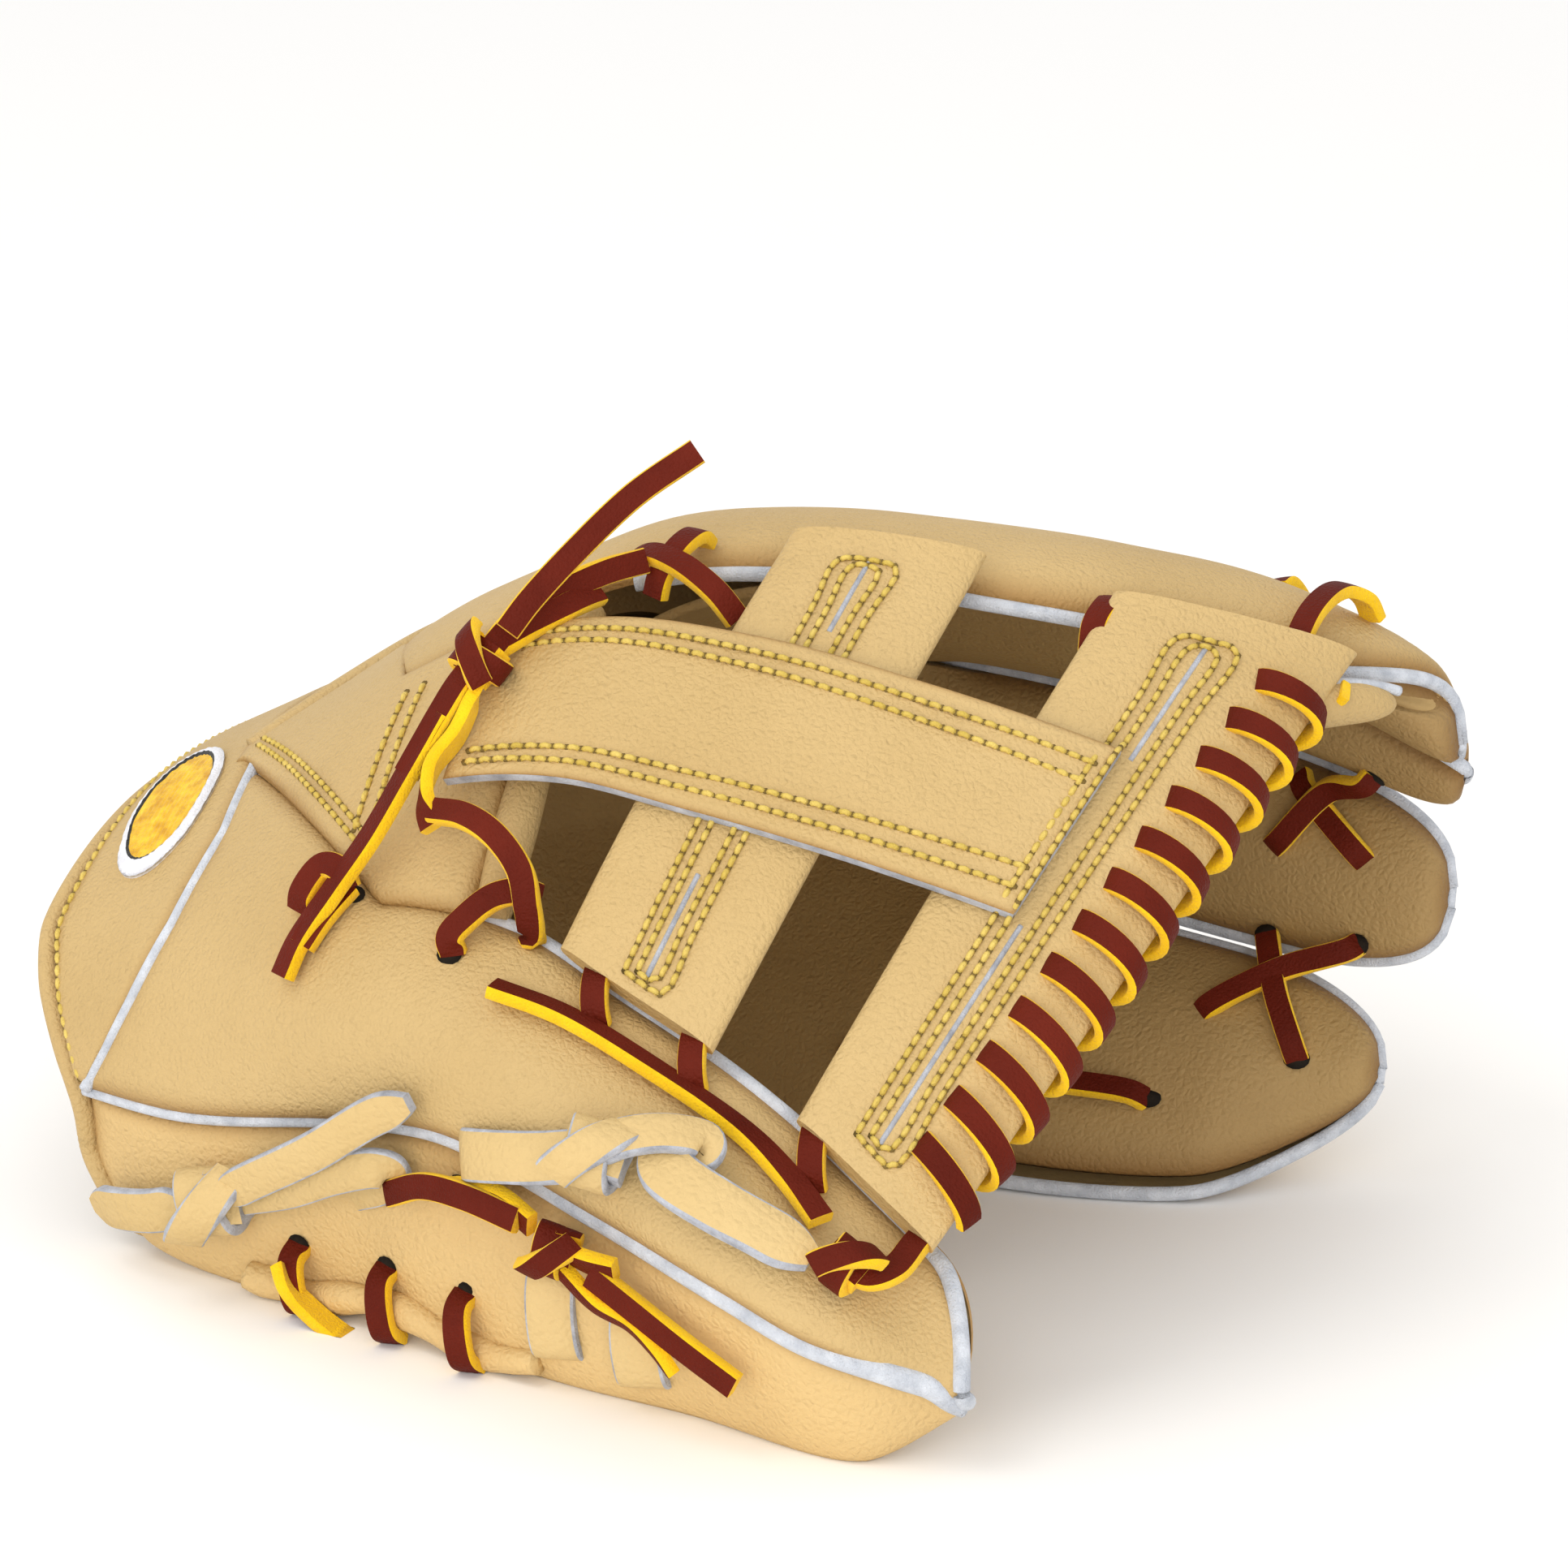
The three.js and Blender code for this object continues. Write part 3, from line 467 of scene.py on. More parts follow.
TURN = 5.0           # how far from a seam a panel starts to turn down
TURN_DROP = 2.2
SHEET = LEATHER - 0.3
FLOOR_GAP = 0.02


def turn_down(near, drop):
    """How far a panel's edge has turned down, from near = 1 inside it to 0 at the seam."""
    return drop * (1 - np.sqrt(1 - (1 - near) ** 2))


def panel_grid(point, length, width, wave=0.5, turn=TURN, drop=TURN_DROP, thick=SHEET, floor=FLOOR_GAP,
               skive=0.4):
    """Outer and inner grids of a leather panel, and how near each point is to a seam."""
    rows, columns = int(length / ROW_STEP), int(width / COLUMN_STEP)
    t, v = np.meshgrid((1 - np.cos(np.linspace(0, np.pi, rows))) / 2 * 0.5 + np.linspace(0, 0.5, rows),
                       (1 - np.cos(np.linspace(0, np.pi, columns))) / 2, indexing="ij")
    near = np.minimum(np.minimum(v, 1 - v) * width, np.minimum(t, 1 - t) * length)
    near = np.clip(near / turn, 0, 1)
    height = uneven(point(t, v, np.zeros_like(t)), wave) * near - turn_down(near, drop)
    depth = height - thick * mix(skive, 1, near)
    return above(point(t, v, height), floor), above(point(t, v, depth), floor + 0.6), (1 - near) ** 2


def panel(name, point, length, width, material, rim=None, inner="lining_leather", **shape):
    """Sheet of leather: point(t, v, h) is its outer face. It turns down at its seams."""
    outer, under, seam_darkening = panel_grid(point, length, width, **shape)
    vertices, faces, kinds = closed_sheet(outer, under)
    made = new_mesh(name, to_row(vertices), faces, [material, inner, rim or material], kinds)
    mark_seams(made, np.concatenate([seam_darkening.ravel(), seam_darkening.ravel()]))
    made.data.set_sharp_from_angle(angle=math.radians(55))
    return made


def node_panel(node, point, length, width, material, where, **shape):
    """Panel that stands for the CAD node of that name."""
    return attach(panel(node + "_look", point, length, width, material, **shape), where, material, node)


def catmull(points, steps):
    """Centripetal Catmull-Rom curve through the points, as three.js draws it."""
    p = np.array(points, float)
    p = np.vstack([2 * p[0] - p[1], p, 2 * p[-1] - p[-2]])
    out = []
    for i in range(1, len(p) - 2):
        a, b, c, d = p[i - 1:i + 3]
        k = [max(np.linalg.norm(v - u) ** 0.5, 1e-4) for u, v in ((a, b), (b, c), (c, d))]
        m = ((b - a) / k[0] - (c - a) / (k[0] + k[1]) + (c - b) / k[1]) * k[1]
        n = ((c - b) / k[1] - (d - b) / (k[1] + k[2]) + (d - c) / k[2]) * k[1]
        t = np.linspace(0, 1, steps, endpoint=False)[:, None]
        out.append(hermite(t, b, m, c, n))
    return np.vstack(out + [p[-2:-1]])


LACE_SECTION = [
    (-1, -0.7), (-0.9, -1), (0.9, -1), (1, -0.7), (1, 0.62), (0.9, 1), (0.3, 1.06), (-0.3, 1.06), (-0.9, 1),
    (-1, 0.62),
]
FACE_SIDES = (5, 6, 7)


def strip_mesh(path, up, width, thick, taper=0.0):
    """Vertices, faces and face kinds of a flat lace with a dyed face and raw yellow edges."""
    tangent = unit(np.gradient(path, axis=0))
    side = unit(np.cross(up, tangent))
    normal = unit(np.cross(tangent, side))
    n, m = len(path), len(LACE_SECTION)
    shape = np.array(LACE_SECTION)
    ends = np.minimum(np.arange(n), np.arange(n)[::-1]) / max(n * 0.2, 1)
    wide = 1 - taper * np.clip(1 - ends, 0, 1) ** 2
    ring = (path[:, None] + side[:, None] * (shape[None, :, :1] * width / 2 * wide[:, None, None])
            + normal[:, None] * (shape[None, :, 1:] * thick / 2))
    kinds = [0 if j in FACE_SIDES else 1 for _ in range(n - 1) for j in range(m)]
    return ring.reshape(-1, 3), pipe_faces(n, m), kinds + [1, 1]


def merged(parts):
    """One set of vertices, faces and kinds from several."""
    vertices, faces, kinds, offset = [], [], [], 0
    for v, f, k in parts:
        vertices.append(v)
        faces += [tuple(i + offset for i in face) for face in f]
        kinds += k
        offset += len(v)
    return np.vstack(vertices), faces, kinds


def joined(name, parts, *materials):
    """One object of several parts."""
    vertices, faces, kinds = merged(parts)
    return new_mesh(name, to_row(vertices), faces, materials, kinds)


def laces(name, parts, tan=False):
    vertices, faces, kinds = merged(parts)
    vertices = above(vertices, FLOOR_GAP)    # a lace under the glove lies flat on the table
    materials = ["thong_leather", "raw_edge"] if tan else ["lace_face", "lace_edge"]
    made = new_mesh(name, to_row(vertices), faces, materials, kinds)
    made.data.set_sharp_from_angle(angle=math.radians(50))
    return made


def twisted(path, up, degrees):
    """The up directions turned about the path, by one angle or by one for each point."""
    tangent = unit(np.gradient(path, axis=0))
    up = unit(up - tangent * (up * tangent).sum(-1, keepdims=True))
    turn = np.radians(np.interp(np.linspace(0, 1, len(path)), np.linspace(0, 1, np.size(degrees)),
                                np.atleast_1d(degrees)))[:, None]
    return up * np.cos(turn) + np.cross(tangent, up) * np.sin(turn)


def strip_on(surface, route, width=LACE_WIDTH, thick=LACE_THICK, taper=0.0, twist=0.0):
    """Lace along a route of (x, s, h) or (a, b, h) on a surface, flat side against it."""
    route = np.array(route, float)
    path = catmull(surface(*route.T), CURVE_STEPS)
    spread = np.linspace(0, len(route) - 1, len(path))
    dense = np.stack([np.interp(spread, np.arange(len(route)), c) for c in route.T])
    up = surface(dense[0], dense[1], dense[2] + 1) - surface(*dense)
    return strip_mesh(path, twisted(path, up, twist), width, thick, taper)


def strip_through(points, up, width=LACE_WIDTH, thick=LACE_THICK, taper=0.0):
    """Lace through points in space, with its face turned to up."""
    path = catmull(points, CURVE_STEPS)
    up = np.broadcast_to(np.array(up, float), path.shape)
    return strip_mesh(path, twisted(path, up, 0.0), width, thick, taper)


def tube_mesh(path, radius, sides=12, flat=1.0, up=None):
    tangent = unit(np.gradient(path, axis=0))
    up = np.broadcast_to(np.array([0, 0, 1.0]) if up is None else up, path.shape)
    side = unit(np.cross(up, tangent))
    normal = unit(np.cross(tangent, side))
    turn = np.arange(sides) * 2 * np.pi / sides
    radius = np.broadcast_to(radius, len(path))[:, None, None]
    ring = (path[:, None] + radius * (side[:, None] * np.cos(turn)[None, :, None]
            + normal[:, None] * (np.sin(turn) * flat)[None, :, None]))
    faces = pipe_faces(len(path), sides)
    return ring.reshape(-1, 3), faces, [0] * len(faces)


def tube(name, path, radius, material, **shape):
    return joined(name, [tube_mesh(path, radius, **shape)], material)


def node_tube(node, path, radius, material, where, **shape):
    """Tube that stands for the CAD node of that name."""
    attach(tube(node + "_look", path, radius, material, **shape), where, material, node)


def evenly(path, up, pitch):
    """Points every pitch along a path, and the normals there."""
    length = np.concatenate([[0], np.cumsum(np.linalg.norm(np.diff(path, axis=0), axis=1))])
    at = np.linspace(0, length[-1], max(int(length[-1] / pitch), 2) + 1)
    points = np.stack([np.interp(at, length, c) for c in path.T], -1)
    normals = unit(np.stack([np.interp(at, length, c) for c in up.T], -1))
    return points, normals


STITCH = 2.7
THREAD_R = 0.55


def stitches(name, rows):
    """Sewn rows: each stitch is a short thread that rises from one needle hole and dips into the next; each
    hole gets a dark collar of painted shade.
    """
    parts = []
    for path, up in rows:
        points, normals = evenly(path, up, STITCH)
        for p, q, n in zip(points[:-1], points[1:], normals[:-1]):
            t = np.linspace(0.17, 0.83, 5)
            arch = mix(p, q, t[:, None]) + n * (0.6 * np.sin(np.pi * (t - 0.17) / 0.66) - 0.1)[:, None]
            parts.append(tube_mesh(arch, THREAD_R, 6, up=n))
        # a dark tube round each hole: painted shade
        for p, n in zip(points, normals):
            hole_shade = np.stack([p - n * 0.5, p + n * 0.22])
            across = unit(np.cross(n, [0.31, 0.2, 0.93]))
            vertices, faces, kinds = tube_mesh(hole_shade, 0.62, 6, up=across)
            parts.append((vertices, faces, [1] * len(faces)))
    return joined(name, parts, "thread", "needle_hole_shade")


def row_on(surface, route, lift):
    """A sewn row on a surface through a route of (x, s) or (a, b). lift gives or is its height."""
    steps = max(STITCH_ROW_POINTS // (len(route) - 1), 2)
    p = catmull(np.array([(u, v, 0) for u, v in route], float), steps)
    height = lift(p[:, 0], p[:, 1]) if callable(lift) else lift + 0 * p[:, 0]
    low, high = surface(p[:, 0], p[:, 1], height), surface(p[:, 0], p[:, 1], height + 1)
    return low, high - low


# ---------- camera ----------
CAMERA_PLACE = (0.2718, -0.718, 0.3235)   # in row metres
CAMERA_TARGET = (-0.0062, 0.0458, 0.075)
LENS = 95.03


def make_camera():
    camera = bpy.data.objects.new("camera", bpy.data.cameras.new("camera"))
    bpy.context.scene.collection.objects.link(camera)
    camera.location = CAMERA_PLACE
    camera.rotation_euler = (Vector(CAMERA_TARGET) - camera.location).to_track_quat("-Z", "Y").to_euler()
    camera.data.sensor_width = 36
    camera.data.lens = LENS
    camera.data.clip_start = 0.01
    bpy.context.scene.camera = camera


# ---------- cords: the free lace tails ----------
UPPER_TAIL = [(-23, -86.5, 127), (-20, -83, 132), (-14, -76, 140), (-5, -68, 150), (5.5, -62, 158)]
LOWER_TAIL = [(-32, 2.49, 16), (-37, 2.34, 13), (-43, 2.17, 9), (-49, 1.97, 5), (-54, 1.78, 3),
              (-56, 1.64, 2.6)]
THUMB_TAIL = [(57.5, 1.74, 3.2), (50, 1.79, 2.8), (40, 1.82, 2.6), (20, 1.81, 2.6), (3, 1.78, 2.6),
              (-11, 1.7, 2.6)]
TIE_HEEL = [(1.5, 3.9, 7), (-10, 3.88, 7.2), (-20, 3.84, 6.2), (-29, 3.76, 5)]
TIE_TIP = [(17, 3.84, 7), (26, 3.78, 6.6), (36, 3.7, 6), (46, 3.6, 5)]


def free_tail(node, mesh, where):
    piece = laces(node + "_look", [mesh])
    attach(piece, where, "lace_leather", node)


def make_cords():
    path = catmull(UPPER_TAIL, CURVE_STEPS)
    up = np.broadcast_to(np.array([0.5, -0.8, 0.4]), path.shape)
    free_tail("crotch_tail_upper", strip_mesh(path, up, LACE_WIDTH, LACE_THICK), "root")
    for node, surface, route, where, twist in (
        ("crotch_tail_lower", on_back, LOWER_TAIL, "web", 25),
        ("thumb_web_tail", on_back, THUMB_TAIL, "thumb_side", (20, 45, 45)),
        ("tie_tail_heel", on_wrap, TIE_HEEL, "thumb_side", 20),
        ("tie_tail_tip", on_wrap, TIE_TIP, "thumb_side", 0),
    ):
        path = catmull(surface(*np.array(route, float).T), CURVE_STEPS)
        free_tail(node, strip_on(surface, route, twist=twist), where)


# ---------- shell ----------
def body_of_finger(name):
    return "pinky_side" if name in ("ring", "pinky") else "root"


BACK_STARTS = {"index": (-61, -75), "middle": (-69, -69), "ring": (-69, -71), "pinky": (-90, -88)}
WELT_R = 1.45
WELT_STARTS = {"index": (-12, -62), "middle": (-62, -62), "ring": (-62, -66), "pinky": (-66, -85)}


def make_fingers():
    for name, finger in FINGERS.items():
        starts = BACK_STARTS[name]

        def back(t, v, h):
            x = tip_spacing(finger, mix(*starts, v), t)
            swollen = back_height(finger, x, v) * np.maximum(tip_dome(finger, x), 0.2)
            return finger_point(finger, x, v, swollen + UNDER + LEATHER + h)
        node_panel(name + "_back", back, 205, 44, "shell_leather", body_of_finger(name))
        start, end = WELT_STARTS[name]
        up = [(tip_spacing(finger, start, t), 0.0) for t in np.linspace(0, 1, 90)]
        over = [(finger["tip"] - 0.3, v) for v in np.linspace(0.12, 0.88, 7)]
        down = [(tip_spacing(finger, end, 1 - t), 1.0) for t in np.linspace(0, 1, 90)]
        x, v = np.array(up + over + down).T
        raised = np.where(x < FORK_X, 1.0, 0.2) + (2.0 * v * tip_dome(finger, x) if name == "index" else 0)
        path = above(finger_point(finger, x, v - (1 - 2 * v) * 0.012, raised), WELT_R + 0.1)
        normal = finger_point(finger, x, v, raised + 1) - finger_point(finger, x, v, raised)
        node_tube(name + "_welt", path, WELT_R, "welt", body_of_finger(name), up=normal)


def heel_edge(v):
    """x of the heel edge of the thumb's palm leather, from its inner top edge (0) to the outer welt (1)."""
    return mix(-110, -106, v) + 22 * np.sin(np.pi * np.clip(v * 1.15, 0, 1)) * ramp(v, 0.1, 0.6)


def make_thumb():
    def back(t, v, h):
        begin = strap_line(mix(1, 2.98, v)) - 2
        x = tip_spacing(THUMB, begin, t)
        share = np.maximum(tip_dome(THUMB, x), 0.06)
        s = 1 + (thumb_top(x) - 1) * (THUMB["lean"] + (v - THUMB["lean"]) * share * 0.98)
        full = ramp(x, -95, -40) * (1 - ramp(x, 48, 80))
        low = mix(UNDER + LEATHER, 2.4, ramp(x, 66, 84))
        return skin(x, s, THUMB["back"] * swell(v) * full + low + h)
    node_panel("thumb_back", back, 190, 62, "shell_leather", "thumb_side")

    def wrapped(x, v, h):
        p = wrap_point(x, mix(0.02, 3.97, v), LEATHER / 2 + h)
        pole = skin(x, 1 + THUMB["lean"] + 0 * x, 1.0)
        dome = mix(tip_dome(THUMB, x), tip_dome(WRAP_TIP, x), np.sin(np.pi * v) ** 0.7)
        return mix(pole, p, np.maximum(dome, 0.05)[..., None])

    def wrap(t, v, h):
        return wrapped(tip_spacing(THUMB, heel_edge(v), t), v, h)
    # the thumb's palm leather in a lighter copy, with painted light from the table below
    attach(panel("palm_thumb_look", wrap, 190, 130, "lit_heel_leather", wave=1.3), "thumb_side", "palm_leather",
           "palm_thumb_side")

    def crotch(t, v, h):
        x = mix(-94, -22, t)
        return skin(x, mix(thumb_top(x) - 0.03, crotch_top(x) + 0.06, v), UNDER + LEATHER + 1.5 + h)
    node_panel("crotch_panel", crotch, 66, 48, "shell_leather", "crotch", drop=1.7, turn=3.5)

    lean = THUMB["lean"]
    x = np.linspace(-106, 84.2, 180)
    low = 1 + lean * (1 - tip_dome(THUMB, x))
    lift = mix(1.1, 3.4, ramp(x, 58, 80))
    outer = skin(x, low, lift)
    wide = mix(1.35, 2.1, ramp(x, -60, 55))
    normal = skin(x, low, lift + 1) - outer
    turn = np.linspace(0, np.pi * 0.7, 40)
    edge = squared(np.cos(turn), 0.7)
    ahead = 76 + 8.8 * np.sin(turn) + 5.5 * ramp(turn, np.pi / 2, np.pi)
    round_tip = skin(ahead, 1.5 + 0.5 * edge, 1.6 + 0 * turn)
    along_top = skin(np.linspace(-42, 75, 110), 2.0 + np.zeros(110), 1.1)
    inner = above(smoothed(np.vstack([along_top, round_tip]), 8), 2.2)
    welts = [tube_mesh(outer, wide, 12, 0.7, normal), tube_mesh(inner, 1.6)]
    attach(joined("thumb_welt_look", welts, "welt"), "thumb_side", "welt", "thumb_welt")
    x = np.linspace(-66, 2, 90)
    s = 3.16 + 0.05 * np.sin(x / 7)
    thick = 2.9 + 0.35 * np.sin(x / 2.6) - 0.9 * ramp(x, -4, 3)
    roll = above(wrap_point(x, s, 2.6 + 0 * x), thick + 0.1)
    # heel roll in the same lighter copy, with painted light from the table below
    attach(tube("heel_roll", roll, thick, "lit_heel_leather", sides=16), "thumb_side", "shell_leather")


def palm_look(name, low_s, high_s, start_x, fingers, where, node):
    """Palm leather in one piece as far as the fork, then one front for each finger."""
    rows, columns = 120, 28
    sheets, seam_darkening = [], []
    for number, finger in enumerate(FINGERS[f] for f in fingers):
        t, v = np.meshgrid(np.linspace(0, 1, rows), (1 - np.cos(np.linspace(0, np.pi, columns))) / 2,
                           indexing="ij")
        x = tip_spacing(finger, start_x, t)
        forked = ramp(x, FORK_X - 10, FORK_X + 12)
        low = low_s(x) if number == 0 else finger["start"] + 0 * x
        high = (high_s if number == 1 else finger["end"]) + 0 * x
        lean = mix(0.5, finger["lean"], forked)
        share = tip_share(finger, x)
        trim = SEAM * forked
        s = low + (high - low) * (mix(trim, 1 - trim, lean) + (v - lean) * share * (1 - 2 * trim))
        near = mix(1, np.minimum(v, 1 - v) * 44 / TURN, forked)
        near = np.clip(np.minimum(near, (1 - t) * 190 / TURN), 0, 1)
        dome = np.maximum(tip_dome(finger, x), 0.2)
        depth = hand_room(x) + FRONT_SWELL * finger_room(x) * swell(v) * dome + UNDER + LEATHER
        rest = skin(x, s, -depth)
        height = uneven(rest, 0.7) * near - turn_down(near, TURN_DROP)
        outer = above(skin(x, s, -depth - height), 2.6)
        inner = above(skin(x, s, -depth - height + SHEET * (0.4 + 0.6 * near)), 3.4)
        sheets.append(closed_sheet(outer, inner))
        seam_darkening += [((1 - near) ** 2).ravel()] * 2
    # the dark palm leather holds painted shade of the pocket besides its own browner tone
    piece = joined(name, sheets, "palm_leather", "lining_leather", "palm_leather")
    mark_seams(piece, np.concatenate(seam_darkening))
    attach(piece, where, "palm_leather", node)


def make_palm():
    def fold_s(x):
        return mix(2.66, 3 + SEAM, ramp(x, -35, -8))
    palm_look("palm_centre_look", fold_s, 5.0, -112, ("index", "middle"), "palm", "palm_centre")
    palm_look("palm_pinky_look", lambda x: 5.0 + 0 * x, 7 - SEAM, -106, ("ring", "pinky"), "pinky",
              "palm_pinky_side")


def make_wrist():
    def strap(t, v, h):
        s = mix(1.04, 6.2, t)
        return skin(mix(wrist_line(s) + 0.5, strap_line(s) - 0.3, v), s, UNDER + LEATHER + 0.5 + h)
    node_panel("wrist_strap", strap, 200, 27, "shell_leather", "strap", turn=3.5, drop=1.8)
    s = np.linspace(1.02, 3.2, 90)
    path = skin(strap_line(s), s, 3.0 + 0 * s)
    node_tube("strap_welt", path, 1.25, "welt", "strap")
    s = np.linspace(6.8, 1.02, 150)
    rim = skin(wrist_line(s) - 1.6, s, 1.6 + 0 * s)
    v = np.linspace(0.97, 0.56, 40)
    down = wrap_point(heel_edge(v) - 0.6, mix(0.02, 3.97, v), 0.8 + 0 * v)
    path = above(smoothed(np.vstack([rim, down]), 12), 2.2)
    node_tube("wrist_binding", path, 2.1, "shell_leather", "strap", sides=16)
    opening = [(-92, 3.08), (-88, 3.22), (-80, 3.5), (-71, 3.82), (-70, 4.2), (-70, 4.8), (-70, 5.4),
               (-74, 5.8),
               (-86, 5.88)]
    x, s = np.array(opening).T
    path = catmull(skin(x, s, 3.2 + 0 * x), 14)
    node_tube("opening_binding", path, 2.6, "shell_leather", "pinky", sides=16)
    s = np.linspace(2.0, 2.92, 40)
    thick = 3.8 + 0.4 * np.sin(s * 9)
    node_tube("crotch_roll", skin(-19 + 0 * s, s, 1.8 + 0 * s), thick, "shell_leather", "crotch", sides=20)


EMBLEM_S = 2.72
EMBLEM_HALF_S = 0.46
EMBLEM_HALF_X = 9.5


def make_emblem():
    """Plain oval of embroidery: gold field, dark ring and white border, with no mark on it."""
    rings, sides = 24, 96
    turn = np.arange(sides) * 2 * np.pi / sides
    r = np.linspace(0.001, 1, rings)[:, None]
    s = EMBLEM_S + EMBLEM_HALF_S * r * np.cos(turn)
    x = (wrist_line(s) + strap_line(s)) / 2 - 0.6 + EMBLEM_HALF_X * r * np.sin(turn)
    stitch = 0.14 * np.sin(x * 5.2) * (r < 0.8) + 0.12 * np.sin(turn * 60) * (r >= 0.8)
    crown = UNDER + LEATHER + 1.9 + 0.5 * (r > 0.8) - 1.2 * r**14 + stitch
    outer, inner = skin(x, s, crown), skin(x, s, UNDER + LEATHER + 0.3 + 0 * x)
    faces = grid_faces(rings, sides, around=True)
    kinds = [0 if r[i, 0] < 0.74 else 1 if r[i, 0] < 0.8 else 2 for i in range(rings - 1)
             for _ in range(sides)]
    skirt = [(rings * sides - sides + j, rings * sides - sides + (j + 1) % sides,
              rings * sides + (j + 1) % sides, rings * sides + j) for j in range(sides)]
    vertices = np.concatenate([outer.reshape(-1, 3), inner[-1]])
    piece = new_mesh("strap_emblem_look", to_row(vertices), faces + skirt,
                     ["emblem_gold", "emblem_dark", "emblem_white"], kinds + [2] * sides)
    attach(piece, "strap", "emblem_thread", "strap_emblem")


def make_inside():
    """Padding, lining and stays. The shell hides them but for what shows through the hand's opening."""
    def sheet(node, start, end, x0, x1, high, thick, material, where):
        def point(t, v, h):
            x = mix(x0, x1, t)
            return above(skin(x, mix(start, end, v), h - hand_room(x) + high), 12)
        return node_panel(node, point, 74, 60, material, where, inner=material, wave=0.3, thick=thick,
                          drop=thick * 0.3, floor=12)
    palm = sheet("palm_pad", 3.15, 4.85, -104, -30, 3.6, 2.9, "padding_felt", "root")
    sheet("palm_lining", 3.15, 4.85, -104, -30, 5.4, 1.1, "lining_leather", "root")
    pinky = sheet("pinky_heel_pad", 5.15, 6.4, -98, -35, 4.9, 4.0, "padding_felt", "pinky_side")

    def heel(t, v, h):
        return above(wrap_point(mix(-86, -20, t), mix(0.45, 1.7, v), h - LEATHER / 2 - 1), LEATHER + 2)
    thumb = node_panel("thumb_heel_pad", heel, 66, 50, "padding_felt", "thumb_side", inner="padding_felt",
                       wave=0.3, thick=4.0, drop=1.2)
    for node in ("thumb_stay", "pinky_stay"):
        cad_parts[node].data.materials.clear()
        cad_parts[node].data.materials.append(MATERIALS["stay_board"])


# ---------- web ----------
def bar(node, a_thumb, a_index, b_low, b_high):
    """Folded leather bar with rolled edges."""
    rows, sides = 80, 40
    turn = np.arange(sides) * 2 * np.pi / sides
    b = np.linspace(b_low, b_high, rows)[:, None]
    low = mix(a_thumb[0], a_index[0], (b - b_low) / (b_high - b_low))
    high = mix(a_thumb[1], a_index[1], (b - b_low) / (b_high - b_low))
    a = (low + high) / 2 + (high - low) / 2 * squared(np.cos(turn), 0.35)
    h = BAR_THICK / 2 + BAR_THICK / 2 * squared(np.sin(turn), 0.8) + 0 * b
    ring = web_point(a, b + 0 * a, h)
    piece = new_mesh(node + "_look", to_row(ring).reshape(-1, 3), pipe_faces(rows, sides), ["web_leather"])
    piece.data.set_sharp_from_angle(angle=math.radians(60))
    attach(piece, "web", "web_leather", node)


def web_rows(name, lines, lift):
    attach(stitches(name, [row_on(web_point, line, lift) for line in lines]), "web", "web_leather")


POST_LEFT = (0.29, 0.77)     # b of the post's two sides at its crotch end
POST_RIGHT = (0.42, 0.73)    # and where it ends on the top bar's seam
POST_SPAN = (-0.15, 0.785)   # a of its two ends
BAR_SEAMS = (0.32, 0.80)     # a of the sewn seam along each bar


def post_side(a, side):
    return mix(POST_LEFT[side], POST_RIGHT[side], (a - POST_SPAN[0]) / (POST_SPAN[1] - POST_SPAN[0]))


def bar_top(a, b):
    """Height of the upper face there: the post's where it lies on a bar, and the bar's elsewhere."""
    on_post = (a < POST_SPAN[1]) & (b > post_side(a, 0)) & (b < post_side(a, 1))
    return np.where(on_post, POST_LOW + LEATHER, BAR_THICK) + 0.1


def long_box(middle, half, low, high):
    """Closed rectangle of a row of stitches round a seam."""
    ends = np.linspace(low, high, 9)
    return ([(middle - half, b) for b in ends] + [(middle, high + 0.004)]
            + [(middle + half, b) for b in ends[::-1]] + [(middle, low - 0.004)] + [(middle - half, low)])


def make_web():
    bar("web_lower_bar", (0.15, 0.48), (0.19, 0.46), -0.01, 1.06)
    bar("web_top_bar", (0.66, 0.96), (0.645, 0.97), -0.01, 1.03)

    def post(t, v, h):
        a = mix(*POST_SPAN, t)
        return web_point(a, mix(post_side(a, 0), post_side(a, 1), v), POST_LOW + LEATHER + h)
    node_panel("web_post", post, 112, 45, "web_leather", "web", rim="raw_edge", turn=1.6, drop=0.35,
               skive=0.9,
               thick=2.5)
    rows = []
    for inset in (0.04, 0.075):
        for side, sign in ((0, 1), (1, -1)):
            rows.append([(a, post_side(a, side) + sign * inset) for a in np.linspace(-0.12, 0.765, 8)])
    web_rows("web_post_stitches", rows, POST_LOW + LEATHER + 0.1)
    boxes = []
    for middle, low, high in ((BAR_SEAMS[0], 0.02, 0.985), (BAR_SEAMS[1], 0.03, 0.965)):
        for half, trim in ((0.019, 0.012), (0.040, 0)):
            boxes.append(long_box(middle, half, low + trim, high - trim))
    web_rows("web_bar_stitches", boxes[:2], BAR_THICK + 0.1)
    web_rows("web_top_stitches", boxes[2:], bar_top)
    seams = []
    for seam, low, high in ((0, 0.03, 0.25), (0, 0.81, 0.99), (1, 0.04, 0.42), (1, 0.73, 0.96)):
        b = np.linspace(low, high, 40)
        seams.append(tube_mesh(web_point(BAR_SEAMS[seam] + 0 * b, b, BAR_THICK - 0.2 + 0 * b), 0.55, 8))
    attach(joined("web_seam_edges", seams, "raw_edge"), "web", "welt")


TURNS = 12


